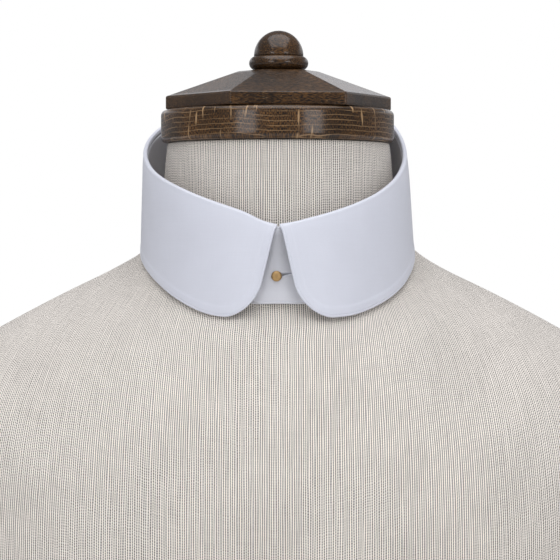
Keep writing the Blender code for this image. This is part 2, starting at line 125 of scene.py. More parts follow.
# Distances in from a free edge at which the cloth is sampled: its round rim, the stitching, the allowance
RIM_OFFSETS = (0.0, 0.00003, 0.00012, 0.00026, 0.00042, 0.00062)
STITCH_OFFSETS = (0.00085, 0.00100, 0.00115, 0.00130, 0.00145, 0.00165, 0.0021)
ALLOWANCE_OFFSETS = (0.0029, 0.0038, 0.0044, 0.0048, 0.0052, 0.0056, 0.0061)
EDGE_OFFSETS = RIM_OFFSETS + STITCH_OFFSETS + ALLOWANCE_OFFSETS
ALLOWANCE_RISES_BY = 0.0006
ALLOWANCE_ENDS = (0.0040, 0.0056)
GROOVE_DEPTH = 0.00018  # pressed in along the stitching
GROOVE_WIDTH = 0.00022
# The band: two ends that lap at the front, each with a buttonhole, and one buttonhole at the back
LAP_OFFSET = 0.00068
LAP_FULL_TO = math.radians(17)
LAP_ENDS_AT = math.radians(42)
TAB_LENGTH = 0.017
TAB_STRAIGHT = 0.0085  # of that length, before the end rounds off
TAB_STEPS = 18
TIP_CLOSING = 0.00068  # the front edges come nearer each other at the fold
TIP_REACH = 0.010
TIP_DEPTH = 0.0032
TONGUE_X = 0.00055  # the top of the band rises between the leaf's front edges
TONGUE_RISE = 0.0023
TONGUE_HALF = (0.00075, 0.00165)  # half its width at the top and at its root
BAND_STEP = math.radians(2.6)
EDGE_ROWS = 13  # rows near its edges, beside its buttonholes and between them
SLIT_ROWS = 9
PLAIN_ROWS = 5
SLIT_HALF = 0.00012
SLIT_GAPE = 0.00105  # half the height of the opening at the stud
SLIT_CLOSES_AT = 0.0066
SLIT_RISE = 0.15  # the strained buttonhole rises away from the stud, for each metre along
SLIT_LENGTH = 0.0110
BACK_SLIT_LENGTH = 0.0140
STUD_X = -0.0008
STUD_HEIGHT = 0.0020
EYELET_RADIUS = 0.0016
ROUND_OFF = 1e-7

# Sewing: samples along each stitching line, and the thread that binds the buttonholes
FRONT_STITCH_TOP = 0.0395  # above the foot
FRONT_SAMPLES = 24
FOOT_SAMPLES = 96
BAND_SAMPLES = 220
STITCH_SHARE = 0.78  # of the pitch, the rest dips into the cloth
BINDING_PITCH = 0.00030
BINDING_REACH = 0.0008
BINDING_STITCH = 0.0011
BINDING_CLEARANCE = 0.00012
BINDING_THREAD = 1.1  # as thick as the sewing thread
STITCH_SIDES = 7
STITCH_RINGS = 6

# The stud
HEAD_DEPTH = 0.0017
HEAD_SIDE = 0.0005
HEAD_GAP = 0.00035
PLATE_GAP = 0.00065
PLATE_DEPTH = 0.0010
STUD_EDGE = 0.0003
DOME_STEPS = 12
STUD_SIDES = 48
# The bust, one row for each ring with its side, front and back points, from the neck to the base
FormRing = namedtuple("FormRing", "side_x side_y side_z front_y front_z back_y back_z drop square")
NECK_ROWS = (
    (0.0540, -0.0010, 0.0666, -0.0550, 0.0666, 0.0530, 0.0666, 2.0, 2.0),
    (0.0545, -0.0010, 0.0650, -0.0555, 0.0650, 0.0535, 0.0650, 2.0, 2.0),
    (0.0560, -0.0006, 0.0490, -0.0566, 0.0470, 0.0555, 0.0530, 2.0, 2.0),
    (0.0570, -0.0003, 0.0360, -0.0573, 0.0240, 0.0568, 0.0480, 1.5, 2.0),
    (0.0582, 0.0000, 0.0275, -0.0582, 0.0020, 0.0583, 0.0465, 1.0, 2.0),
)
BUST_ROWS = (
    (0.0800, 0.0060, 0.0056, -0.0765, -0.0300, 0.0765, 0.0190, 1.2, 2.0),
    (0.1050, 0.0090, -0.0060, -0.0870, -0.0470, 0.0890, 0.0030, 1.6, 2.05),
    (0.1380, 0.0090, -0.0235, -0.0965, -0.0680, 0.0985, -0.0180, 2.0, 2.15),
    (0.1660, 0.0070, -0.0405, -0.1030, -0.0870, 0.1045, -0.0410, 2.0, 2.3),
    (0.1830, 0.0050, -0.0590, -0.1063, -0.1040, 0.1068, -0.0660, 2.0, 2.4),
    (0.1895, 0.0020, -0.0820, -0.1070, -0.1200, 0.1070, -0.0930, 2.0, 2.5),
    (0.1900, 0.0000, -0.1080, -0.1062, -0.1340, 0.1055, -0.1180, 2.0, 2.5),
    (0.1880, 0.0000, -0.1340, -0.1045, -0.1460, 0.1030, -0.1390, 2.0, 2.5),
    (0.1860, 0.0000, -0.1565, -0.1032, -0.1565, 0.1010, -0.1565, 2.0, 2.5),
    (0.1835, 0.0000, -0.1600, -0.1007, -0.1600, 0.0985, -0.1600, 2.0, 2.5),
)
BAND_SEAT_IN = 0.0010
BAND_SEAT_DOWN = 0.0017
LEAF_SEAT_DOWN = 0.0026

# The wooden top. The ring sits a little to one side of the axis of the others.
WOOD_X = 0.0001
WOOD_Y = -0.001
RING_X = -0.0005
RING_FOOT = 0.0670
RING_TOP = 0.0829
CAP_FOOT = 0.0833
CAP_SHOULDER = 0.0896
CAP_TOP = 0.1022
CAP_EDGE = 0.0007
CAP_CORNER = 0.0009
KNOB_FOOT = 0.1026
BEAD_HEIGHT = 0.0070
DOME_TOP = 0.1221
RING_GRAIN_RADIUS = 0.057
RING_SIDES = 144
KNOB_SIDES = 72
KNOB_STEPS = 24
BEAD_STEPS = 20
CAP_SIDES = 6
CAP_CORNER_STEPS = 4
CAP_EASED = 1.2 * CAP_EDGE  # the eased edge reaches this far
SIDE_SHARES = (0.02, 0.06, 0.15, 0.3, 0.5, 0.7, 0.85, 0.94, 0.98)  # points along a side of the cap

# The studio
FLOOR_RADIUS = 1.5
FLOOR_FADES_FROM = 0.6
FLOOR_SIDES = 64
PAPER = (0.86, 0.86, 0.86)
LIGHT_COLOUR = (0.95, 0.96, 1.0)
LIGHTS_AIM = (0, 0, COLLAR_LEVEL + 0.03)
# Each soft light's setting, place and width
SOFTBOXES = (
    ("left", (-0.90, -1.55, 0.45), 0.6),
    ("right", (1.05, -1.50, 0.45), 0.6),
    ("top", (0.0, -0.44, 1.80), 2.3),
)
# The bright strip behind: it rises and falls with the height looked at, and starts beside the bust
STRIP_RISES = (0.04, 0.24)
STRIP_FALLS = (0.26, 0.37)
STRIP_BEHIND = (0.2, 0.6)
SENSOR_WIDTH = 36.0
CLIP_START = 0.05

def blend(low, high, x):
    """0 below low, 1 above high and smooth between them."""
    share = min(1.0, max(0.0, (x - low) / (high - low)))
    return share * share * (3 - 2 * share)

def slopes(keys, values):
    """The slope of a smooth curve through values at each key, from its neighbours."""
    last = len(keys) - 1
    found = []
    for i in range(last + 1):
        before, after = max(i - 1, 0), min(i + 1, last)
        found.append((values[after] - values[before]) / (keys[after] - keys[before]))
    return found

class SmoothCurve:
    """A smooth curve through values at keys. Values are numbers or vectors."""

    def __init__(self, keys, values):
        self.keys, self.values, self.slopes = keys, values, slopes(keys, values)

    def at(self, x):
        keys, values, slope = self.keys, self.values, self.slopes
        i = min(len(keys) - 2, max(0, bisect.bisect_right(keys, x) - 1))
        width = keys[i + 1] - keys[i]
        t = (x - keys[i]) / width
        start = values[i] * (1 + 2 * t) * (1 - t) ** 2 + slope[i] * width * t * (1 - t) ** 2
        end = values[i + 1] * (3 - 2 * t) * t * t + slope[i + 1] * width * (t - 1) * t * t
        return start + end

def mirrored_column(name):
    """A column of the collar's table, run on past the front and back so that it joins up smoothly."""
    place = COLLAR_COLUMNS.index(name)
    rows = [(row[0], row[place]) for row in COLLAR_ROWS]
    before = [(-angle, value) for angle, value in reversed(rows[1:3])]
    after = [(360 - angle, value) for angle, value in reversed(rows[-3:-1])]
    keys, values = zip(*(before + rows + after))
    return SmoothCurve(keys, values)

COLLAR_CURVES = {name: mirrored_column(name) for name in COLLAR_COLUMNS[1:]}

def around(name, angle):
    """A column of the collar's table at any angle from the front centre, in radians."""
    degrees = math.degrees(angle) % 360
    return COLLAR_CURVES[name].at(min(degrees, 360 - degrees))

def askew(name, skew, angle):
    """The height of an edge of the collar, with its skew."""
    side = math.copysign(1.0, math.sin(angle))
    return around(name, angle) - side * around(skew, angle)

def band_foot(angle):
    """Height of the band's lower edge."""
    return askew("band_foot", "leaf_skew", angle)

def leaf_foot(angle):
    """Height of the leaf's lower edge, away from its round corners."""
    return askew("leaf_foot", "leaf_skew", angle)

def at(angle, radius, height):
    """A point at that angle from the front, that far from the leaning axis of the neck."""
    x = radius * math.sin(angle) + LEAN * height
    return Vector((x, -radius * math.cos(angle), COLLAR_LEVEL + height))

def lap(angle):
    """How far the band lies out at an unwrapped angle: the end on the right laps over the other."""
    out = 1 - blend(LAP_FULL_TO, LAP_ENDS_AT, angle)
    inward = 1 - blend(LAP_FULL_TO, LAP_ENDS_AT, math.tau - angle)
    return LAP_OFFSET * (out - inward)
class CollarSizes(bpy.types.PropertyGroup):
    """Sizes and colour of the collar."""

    neck_size: FloatProperty(
        name="Neck size", description="Length round the band, along its slope", default=0.417, unit="LENGTH"
    )
    cloth: FloatProperty(
        name="Cloth", description="Thickness of the starched plies together", default=0.0009, unit="LENGTH"
    )
    corner_radius: FloatProperty(
        name="Corner radius", description="Radius of the leaf's round front corners", default=0.0170, unit="LENGTH"
    )
    front_slant: FloatProperty(
        name="Front slant", description="How far each front edge moves out for each metre down", default=0.235
    )
    seam_gap: FloatProperty(
        name="Seam gap", description="From the turned edge of the fold to the band", default=0.0004, unit="LENGTH"
    )
    seam_allowance: FloatProperty(
        name="Seam allowance", description="How much the turned edge stands up", default=0.00020, unit="LENGTH"
    )
    stitch_inset: FloatProperty(
        name="Stitch inset", description="From the free edge to the stitching", default=0.00115, unit="LENGTH"
    )
    stitch_pitch: FloatProperty(
        name="Stitch pitch", description="From one stitch to the next", default=0.0019, unit="LENGTH"
    )
    thread: FloatProperty(
        name="Thread", description="Thickness of the sewing thread", default=0.00030, unit="LENGTH"
    )
    waviness: FloatProperty(
        name="Waviness", description="Unevenness left in the cloth by ironing", default=0.00018, unit="LENGTH"
    )
    colour: FloatVectorProperty(
        name="Cotton", description="Colour of the starched cotton", default=(0.785, 0.800, 0.875), subtype="COLOR"
    )
    # The band's own cotton colour, partly painted shade: its less blue tone stands in for the warm bounced light in
    # the shaded V under the leaf.
    band_colour_shade_tinted: FloatVectorProperty(
        name="Band cotton",
        description="Colour of the band's cotton, less blued than the leaf's",
        default=(0.795, 0.798, 0.84),
        subtype="COLOR",
    )
    # Painted shade: how much darker the band's front is painted where the leaf's fold and front edges shade it,
    # strongest above the stud.
    painted_shade_strength: FloatProperty(
        name="Greyed", description="How much darker the band is where hands button it", default=0.30, subtype="FACTOR"
    )


class StudSizes(bpy.types.PropertyGroup):
    """Sizes and colour of the stud."""

    head_radius: FloatProperty(
        name="Head radius", description="Radius of the domed head", default=0.0025, unit="LENGTH"
    )
    plate_radius: FloatProperty(
        name="Plate radius", description="Radius of the flat plate inside", default=0.0055, unit="LENGTH"
    )
    shank_radius: FloatProperty(
        name="Shank radius", description="Radius of the shank", default=0.0010, unit="LENGTH"
    )
    colour: FloatVectorProperty(
        name="Brass", description="Colour of the brass", default=(0.55, 0.36, 0.165), subtype="COLOR"
    )


class BustSizes(bpy.types.PropertyGroup):
    """Mesh density and cover of the bust."""

    columns_round: IntProperty(
        name="Columns", description="Columns of the mesh all round", default=120, min=24
    )
    steps: IntProperty(name="Steps", description="Rows between two rings of the shape", default=5, min=1)
    rib_pitch: FloatProperty(
        name="Rib pitch", description="Distance between the ribs of the linen", default=0.00105, unit="LENGTH"
    )
    colour: FloatVectorProperty(
        name="Linen", description="Colour of the unbleached linen", default=(0.85, 0.79, 0.715), subtype="COLOR"
    )


class WoodSizes(bpy.types.PropertyGroup):
    """Sizes and colours of the wooden ring, cap and knob."""

    ring_radius: FloatProperty(
        name="Ring radius",
        description="Radius of the turned neck ring",
        default=(RING_BOX[1][0] - RING_BOX[0][0]) / 2,
        unit="LENGTH",
    )
    ring_edge: FloatProperty(
        name="Ring edge", description="Radius of the ring's round edges", default=0.0026, unit="LENGTH"
    )
    cap_radius: FloatProperty(
        name="Cap radius", description="From the axis to a corner of the cap", default=0.0555, unit="LENGTH"
    )
    cap_top_radius: FloatProperty(
        name="Cap top", description="From the axis to a corner of its flat top", default=0.0196, unit="LENGTH"
    )
    cap_turn: FloatProperty(
        name="Cap turn", description="Turn of the cap about its axis", default=math.radians(5.3), unit="ROTATION"
    )
    bead_radius: FloatProperty(
        name="Bead radius", description="Radius of the bead below the knob", default=0.0145, unit="LENGTH"
    )
    dome_radius: FloatProperty(
        name="Dome radius", description="Radius of the knob's dome", default=0.0121, unit="LENGTH"
    )
    line_colour: FloatVectorProperty(
        name="Light grain", description="Colour of the growth lines", default=(0.48, 0.30, 0.15), subtype="COLOR"
    )
    light_colour: FloatVectorProperty(
        name="Stain", description="Colour of the stained wood", default=(0.145, 0.068, 0.020), subtype="COLOR"
    )
    dark_colour: FloatVectorProperty(
        name="Dark stain", description="Colour of the stained pores", default=(0.013, 0.007, 0.004), subtype="COLOR"
    )


class StudioSettings(bpy.types.PropertyGroup):
    """The soft lights and the camera."""

    distance: FloatProperty(
        name="Camera distance", description="From the camera to the neck", default=1.60, unit="LENGTH"
    )
    frame_width: FloatProperty(
        name="Frame width", description="Width of the view at the neck", default=0.2744, unit="LENGTH"
    )
    aim_x: FloatProperty(
        name="Aim", description="Sideways place of the camera", default=0.000735, unit="LENGTH"
    )
    ambient: FloatProperty(name="Ambient", description="Strength of the light from all sides", default=0.245)
    backdrop: FloatProperty(
        name="Backdrop", description="Strength of the light strip low down behind the bust", default=0.85
    )
    left: FloatProperty(name="Left light", description="Power of the left softbox", default=3.6, unit="POWER")
    right: FloatProperty(name="Right light", description="Power of the right softbox", default=3.6, unit="POWER")
    top: FloatProperty(name="Top light", description="Power of the softbox above", default=35.0, unit="POWER")

class WornCollar:
    """The worn collar's middle surfaces, worked out from its sizes."""

    def __init__(self, sizes):
        self.sizes = sizes
        self.radius = sizes.neck_size / math.tau * PLAN_SHARE

    def roll(self, angle):
        """Radius of the fold, to the middle of the cloth."""
        return around("roll", angle) - FOLD_PRESSED

    def leaves_at(self, angle):
        """The slope at which the fold hands over to the leaf."""
        return ROLL_LEAVES_AT - LEAVES_LESS * math.sin(angle) ** 2

    def roll_centre(self, angle):
        """Radius and height of the fold's own axis."""
        height = askew("fold_top", "fold_skew", angle) - self.roll(angle) - self.sizes.cloth / 2
        return self.radius + around("fold_out", angle) - FOLD_TUCK + lap(angle % math.tau), height

    def roll_end(self, angle):
        """Radius and height where the fold hands over to the leaf."""
        centre, top = self.roll_centre(angle)
        roll, leaves = self.roll(angle), self.leaves_at(angle)
        return centre + roll * math.cos(leaves), top + roll * math.sin(leaves)

    def leaf_radius(self, angle, height):
        """How far out the middle of the leaf lies at a height below the fold."""
        start, top = self.roll_end(angle)
        foot = self.radius + around("leaf_out", angle) + lap(angle % math.tau)
        down = max(0.0, top - height)
        slope = SLOPE_FADES_OVER * math.tan(self.leaves_at(angle))
        share = down / (top - leaf_foot(angle))
        spread = slope * (1 - math.exp(-down / SLOPE_FADES_OVER))
        return start + spread + (foot - start - slope) * share**LEAF_OPENING + self.wave(angle, height, share)

    def wave(self, angle, height, share):
        """Slow unevenness of the ironed leaf, none at the fold."""
        (rolls, crosses), (rolls_down, crosses_down) = WAVES_ALONG, WAVES_DOWN
        along = angle * LEAF_RADIUS
        rolling = math.sin(along * rolls + 0.6) * math.cos(height * rolls_down + 1.1)
        cross = math.sin(along * crosses - height * crosses_down + 2.0)
        return self.sizes.waviness * (0.6 * rolling + 0.4 * cross) * blend(0.0, 0.3, share)

    def leaf_angle(self, along, height):
        """The angle of a line down the leaf that starts at a distance along from the centre front."""
        fade = 1 - blend(0, SLANT_FADES_BY, abs(along) - FRONT_HALF_GAP)
        slant = self.sizes.front_slant * fade * (COLLAR_ROWS[0][1] - height)
        shift = fade * (FRONT_SHIFT + FRONT_LEAN * height)
        return (along + math.copysign(slant, along) + shift) / LEAF_RADIUS

    def settle(self, along, height_of):
        """The angle and height where a line down the leaf meets a height that depends on the angle."""
        angle = along / LEAF_RADIUS
        for _ in range(SETTLE_TURNS):
            height = height_of(angle)
            angle = self.leaf_angle(along, height)
        return angle, height

    def leaf_place(self, along, above_foot):
        """A point of the leaf, by its distance along the fold and above the foot."""
        angle, height = self.settle(along, lambda a: leaf_foot(a) + above_foot)
        return at(angle, self.leaf_radius(angle, height), height)

    def leaf_facing(self, along, above_foot):
        """A point of the leaf and its outward direction."""
        step = self.sizes.stitch_inset
        place = self.leaf_place(along, above_foot)
        across = self.leaf_place(along + step, above_foot) - place
        up = self.leaf_place(along, above_foot + step) - place
        return place, across.cross(up).normalized()

    def band_limits(self, angle, tongue=TONGUE_RISE):
        """Lowest and highest edge of the band at an unwrapped angle, with its rounded ends."""
        low = band_foot(angle)
        high = self.roll_centre(angle)[1] - TURNED_IN - self.sizes.seam_gap
        high += tongue * (1 - blend(*TONGUE_HALF, abs(angle * self.radius - TONGUE_X)))
        past = max(-angle, angle - math.tau) * self.radius - TAB_STRAIGHT
        if past > 0:
            rounding = math.sqrt(max(0.0, 1 - (past / (TAB_LENGTH - TAB_STRAIGHT)) ** 2))
            low, high = (STUD_HEIGHT + (edge - STUD_HEIGHT) * rounding for edge in (low, high))
        return low, high

    def band_radius(self, angle, height):
        """How far out the middle of the band lies at an unwrapped angle and a height."""
        low = band_foot(angle)
        centre, top = self.roll_centre(angle)
        foot = self.radius + around("band_out", angle)
        head = centre - lap(angle % math.tau) - self.roll(angle) - SEAM_STEP * math.sin(angle / 2) ** 2
        return foot + (head - foot) * (height - low) / (top - low) + lap(angle)

    def band_place(self, angle, height):
        """A point of the band at an unwrapped angle and a height."""
        return at(angle, self.band_radius(angle, height), height)

    def band_facing(self, angle, height):
        """A point of the band and its outward direction."""
        step = self.sizes.stitch_inset
        place = self.band_place(angle, height)
        across = self.band_place(angle + step / self.radius, height) - place
        up = self.band_place(angle, height + step) - place
        return place, across.cross(up).normalized()

    def stud_share(self):
        """Height of the buttonholes, as a share of the band from its foot."""
        low, high = self.band_limits(0.0, 0.0)
        return (STUD_HEIGHT - low) / (high - low)

    def slit_middle(self, angle):
        """Height of the line of the buttonholes at an unwrapped angle."""
        low, high = self.band_limits(angle, 0.0)
        along = max(0.0, front_slit(angle, self.radius))
        rise = SLIT_RISE * along if along < SLIT_LENGTH else 0.0
        return low + self.stud_share() * (high - low) + rise

def front_slit(angle, radius):
    """Where an angle lies along the nearer front buttonhole, measured from the stud."""
    stud = STUD_X / radius
    return min(((angle - stud), -(angle - math.tau - stud)), key=abs) * radius

def slit_half(angle, radius):
    """Half the height of a buttonhole at an unwrapped angle, or None beside it."""
    along = front_slit(angle, radius)
    if -EYELET_RADIUS - ROUND_OFF <= along <= SLIT_LENGTH + ROUND_OFF:
        gape = SLIT_GAPE * (1 - along / SLIT_CLOSES_AT) if along > 0 else 0.0
        return max(SLIT_HALF, gape, math.sqrt(max(0.0, EYELET_RADIUS**2 - along**2)))
    if abs(angle - math.pi) * radius <= BACK_SLIT_LENGTH / 2 + ROUND_OFF:
        return SLIT_HALF
    return None

class ClothWall:
    """Points and faces of a cloth's middle surface, which becomes a wall with round edges."""

    def __init__(self, cloth):
        self.half = cloth / 2
        self.places, self.insets, self.flats = [], [], []
        self.index, self.faces = {}, []

    def point(self, key, place, inset, flat):
        """Adds a point with its distance in from the free edges and its place on the flat cut."""
        if key not in self.index:
            self.index[key] = len(self.places)
            self.places.append(place)
            self.insets.append(max(0.0, inset))
            self.flats.append(flat)

    def face(self, keys, flip=False):
        """Adds a face, leaving out corners that fall together."""
        corners = []
        for key in keys:
            corner = self.index[key]
            if corner not in corners:
                corners.append(corner)
        if len(corners) > 2:
            self.faces.append(corners[::-1] if flip else corners)

    def rim(self, inset):
        """Half the thickness of the wall at a distance in from its free edge."""
        share = min(1.0, inset / self.half)
        return self.half * math.sqrt(1 - (1 - share) ** 2)

    def mesh(self, name, relief):
        """The closed wall, its outer face raised by the relief at each distance in."""
        middle = bpy.data.meshes.new(name + "_middle")
        middle.from_pydata(self.places, [], self.faces)
        normals = [Vector(normal.vector) for normal in middle.vertex_normals]
        bpy.data.meshes.remove(middle)
        places, flats, inner = [], list(self.flats), []
        for place, normal, inset in zip(self.places, normals, self.insets):
            places.append(place + normal * (self.rim(inset) + relief(inset)))
        for i, inset in enumerate(self.insets):
            if inset <= ROUND_OFF:
                inner.append(i)
                continue
            inner.append(len(places))
            places.append(self.places[i] - normals[i] * (self.rim(inset) + relief(inset) / 2))
            flats.append(self.flats[i])
        faces = self.faces + [[inner[i] for i in reversed(face)] for face in self.faces]
        wall = bpy.data.meshes.new(name)
        wall.from_pydata(places, [], faces)
        cut = wall.uv_layers.new(name="cut")
        for loop in wall.loops:
            cut.data[loop.index].uv = flats[loop.vertex_index]
        wall.shade_smooth()
        return wall
def edge_relief(sizes):
    """Height of the turned seam allowance, pressed in along its stitching, by distance in from the edge."""

    def relief(inset):
        raised = blend(0.0, ALLOWANCE_RISES_BY, inset) - blend(*ALLOWANCE_ENDS, inset)
        from_stitches = (inset - sizes.stitch_inset) / GROOVE_WIDTH
        return sizes.seam_allowance * raised - GROOVE_DEPTH * math.exp(-from_stitches * from_stitches)

    return relief

def show(name, mesh, finish, slot, *replaced):
    """A piece of the object, riding on its one body, in its finish."""
    mesh.materials.append(finish)
    piece = bpy.data.objects.new(name, mesh)
    collection = bpy.data.collections.get(COLLECTION)
    if collection is None:
        collection = bpy.data.collections.new(COLLECTION)
        bpy.context.scene.collection.children.link(collection)
    collection.objects.link(piece)
    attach(piece, "root")
    if replaced:
        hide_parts(*replaced)
    return piece

class LeafGrid:
    """One half of the leaf: columns from its front edge to the back, and rings round its free edges."""

    def __init__(self, collar, wall, side):
        self.collar, self.wall, self.side = collar, wall, side
        self.radius = collar.sizes.corner_radius
        self.rings = len(EDGE_OFFSETS) - 1
        self.half_round = math.pi * LEAF_RADIUS - FRONT_HALF_GAP
        inner = self.radius - EDGE_OFFSETS[-1]
        turns = [math.pi / 2 * i / CORNER_STEPS for i in range(1, CORNER_STEPS + 1)]
        self.corner = [(math.cos(t), math.sin(t)) for t in turns]
        steps = round((self.half_round - self.radius) / SIDE_STEP)
        straight = [self.radius + (self.half_round - self.radius) * i / steps for i in range(1, steps + 1)]
        self.columns = [(offset, self.radius) for offset in EDGE_OFFSETS]
        self.columns += [(self.radius - inner * c, self.radius - inner * s) for c, s in self.corner]
        self.columns += [(s, EDGE_OFFSETS[-1]) for s in straight]
        self.straight = straight

    def inset(self, in_from_front, above_foot):
        """Distance in from the free outline, with its round corner."""
        across, up = self.radius - in_from_front, self.radius - above_foot
        if across > 0 and up > 0:
            return self.radius - math.hypot(across, up)
        return min(in_from_front, above_foot)

    def tip(self, along, front, below):
        """The same place, drawn towards the middle by the fold, where both front edges come close."""
        share = (1 - blend(0.0, TIP_REACH, front)) * (1 - blend(0.0, TIP_DEPTH, below))
        return along - self.side * TIP_CLOSING * share

    def key(self, kind, column, row):
        """The name of a point. The last column is shared by both halves."""
        last = kind == "column" and column == len(self.columns) - 1
        shared = last or (kind == "ring" and row == len(self.corner) + len(self.straight))
        return (kind, column, row, 1 if shared else self.side)

    def add_column(self, column):
        """Points of a column: up the turned-in edge, over the fold and down the leaf."""
        collar, side = self.collar, self.side
        front, rise = self.columns[column]
        along = side * (FRONT_HALF_GAP + front)
        angle, _ = collar.settle(along, lambda a: collar.roll_end(a)[1])
        centre, top = collar.roll_centre(angle)
        roll = collar.roll(angle)
        row = 0
        below = [offset for offset in EDGE_OFFSETS if offset < TURNED_IN]
        for offset in below:
            height = top - TURNED_IN + offset
            near = self.tip(along, front, top + roll - height)
            place = at(collar.leaf_angle(near, height), centre - roll, height)
            flat = (along, top + math.pi * roll + TURNED_IN - offset)
            self.wall.point(self.key("column", column, row), place, min(front, offset), flat)
            row += 1
        for i in range(FOLD_STEPS + 1):
            turn = math.pi - (math.pi - collar.leaves_at(angle)) * i / FOLD_STEPS
            height = top + roll * math.sin(turn)
            near = self.tip(along, front, top + roll - height)
            place = at(collar.leaf_angle(near, height), centre + roll * math.cos(turn), height)
            flat = (along, top + roll * turn)
            inset = min(front, TURNED_IN + roll * (math.pi - turn))
            self.wall.point(self.key("column", column, row), place, inset, flat)
            row += 1
        start = collar.roll_end(angle)[1]
        foot = collar.settle(along, lambda a: leaf_foot(a) + rise)[1]
        for share in LEAF_SHARES:
            height = start + (foot - start) * share
            a = collar.leaf_angle(self.tip(along, front, top + roll - height), height)
            place = at(a, collar.leaf_radius(a, height), height)
            inset = self.inset(front, height - leaf_foot(a))
            self.wall.point(self.key("column", column, row), place, inset, (along, height))
            row += 1
        return row - 1

    def ring_key(self, ring, step, last_row):
        """A point of a ring round the free edges, from the end of the front edge to the back."""
        if step == 0:
            return self.key("column", ring, last_row)
        if ring == self.rings:
            return self.key("column", self.rings + step, last_row)
        return self.key("ring", ring, step)

    def add_rings(self):
        """Points of the rings round the corner and along the foot."""
        for ring in range(self.rings):
            offset = EDGE_OFFSETS[ring]
            size = self.radius - offset
            flats = [(self.radius - size * c, self.radius - size * s) for c, s in self.corner]
            flats += [(s, offset) for s in self.straight]
            for step, (front, above) in enumerate(flats, 1):
                along = self.side * (FRONT_HALF_GAP + front)
                place = self.collar.leaf_place(along, above)
                self.wall.point(self.key("ring", ring, step), place, offset, (along, place.z - COLLAR_LEVEL))

    def patch(self, key, columns, rows):
        """Faces between the neighbouring points of a grid."""
        for i in range(columns):
            for j in range(rows):
                self.wall.face([key(i, j), key(i + 1, j), key(i + 1, j + 1), key(i, j + 1)], self.side > 0)

    def build(self):
        """Adds this half to the wall."""
        for column in range(len(self.columns)):
            last_row = self.add_column(column)
        self.add_rings()
        self.patch(lambda column, row: self.key("column", column, row), len(self.columns) - 1, last_row)
        steps = len(self.corner) + len(self.straight)
        self.patch(lambda ring, step: self.ring_key(ring, step, last_row), self.rings, steps)

def leaf_mesh(collar):
    """The whole leaf as one closed wall."""
    wall = ClothWall(collar.sizes.cloth)
    for side in (1, -1):
        LeafGrid(collar, wall, side).build()
    return wall.mesh("leaf", edge_relief(collar.sizes))

def band_angles(radius):
    """Unwrapped angles of the band's columns, closer at the tabs and buttonholes."""
    stud = STUD_X / radius
    straight, rounded = TAB_STRAIGHT / radius, (TAB_LENGTH - TAB_STRAIGHT) / radius
    pasts = [straight * i / 6 for i in range(1, 6)]
    pasts += [straight + rounded * math.sin(math.pi / 2 * i / TAB_STEPS) for i in range(TAB_STEPS + 1)]
    close = [angle for past in pasts for angle in (-past, math.tau + past)]
    close += [(TONGUE_X + TONGUE_HALF[1] * i / 8) / radius for i in range(-8, 9)]
    steps = [-EYELET_RADIUS * math.cos(math.pi * i / 10) for i in range(11)]
    steps += [SLIT_LENGTH * i / 12 for i in range(3, 13)] + [SLIT_LENGTH + o for o in EDGE_OFFSETS[1:8]]
    steps += [-EYELET_RADIUS - offset for offset in EDGE_OFFSETS[1:8]]
    for step in steps:
        close += [stud + step / radius, math.tau + stud - step / radius]
    half = BACK_SLIT_LENGTH / 2
    for step in [half * i / 6 for i in range(7)] + [half + o for o in EDGE_OFFSETS[1:8]]:
        close += [math.pi + step / radius, math.pi - step / radius]
    count = round(math.tau / BAND_STEP)
    even = [math.tau * i / count for i in range(count + 1)]
    open_even = [a for a in even if min(abs(a - c) for c in close) > BAND_STEP / 5]
    kept = []
    for angle in sorted(close + open_even):
        if not kept or angle - kept[-1] > ROUND_OFF * 10:
            kept.append(angle)
    return kept
def band_rows(low, middle, high, half):
    """Heights up one column of the band: closer at its edges and at the buttonholes."""
    by_edge = EDGE_OFFSETS[:EDGE_ROWS]
    rows = []
    for edge, slit, turn in ((low, middle - half, 1), (high, middle + half, -1)):
        room = abs(slit - edge)
        near = [offset * min(1.0, room / (2.6 * by_edge[-1])) for offset in by_edge]
        far = [room - offset for offset in reversed(near[:SLIT_ROWS])]
        gap = far[0] - near[-1]
        shares = near + [near[-1] + gap * i / PLAIN_ROWS for i in range(1, PLAIN_ROWS)] + far
        rows.append([edge + turn * share for share in shares])
    return rows[0] + rows[1][::-1]

def band_mesh(collar):
    """The band as one closed wall, with its buttonholes open."""
    wall = ClothWall(collar.sizes.cloth)
    angles = band_angles(collar.radius)
    tip = TAB_LENGTH / collar.radius - ROUND_OFF

    def key(i, j):
        at_tip = max(-angles[i], angles[i] - math.tau) >= tip
        return (i, 0 if at_tip else j)

    for i, angle in enumerate(angles):
        low, high = collar.band_limits(angle)
        middle = collar.slit_middle(angle)
        found = slit_half(angle, collar.radius)
        heights = band_rows(low, middle, high, min(found or SLIT_HALF, (high - low) / 4))
        for j, height in enumerate(heights):
            inset = band_inset(collar, angle, height, low, middle, high)
            wall.point(key(i, j), collar.band_place(angle, height), inset, (angle * collar.radius, height))
    slit_row = len(heights) // 2 - 1
    for i in range(len(angles) - 1):
        both = [slit_half(angle, collar.radius) is not None for angle in angles[i : i + 2]]
        for j in range(len(heights) - 1):
            if not (all(both) and j == slit_row):
                wall.face([key(i, j), key(i + 1, j), key(i + 1, j + 1), key(i, j + 1)])
    return wall.mesh("band", edge_relief(collar.sizes))

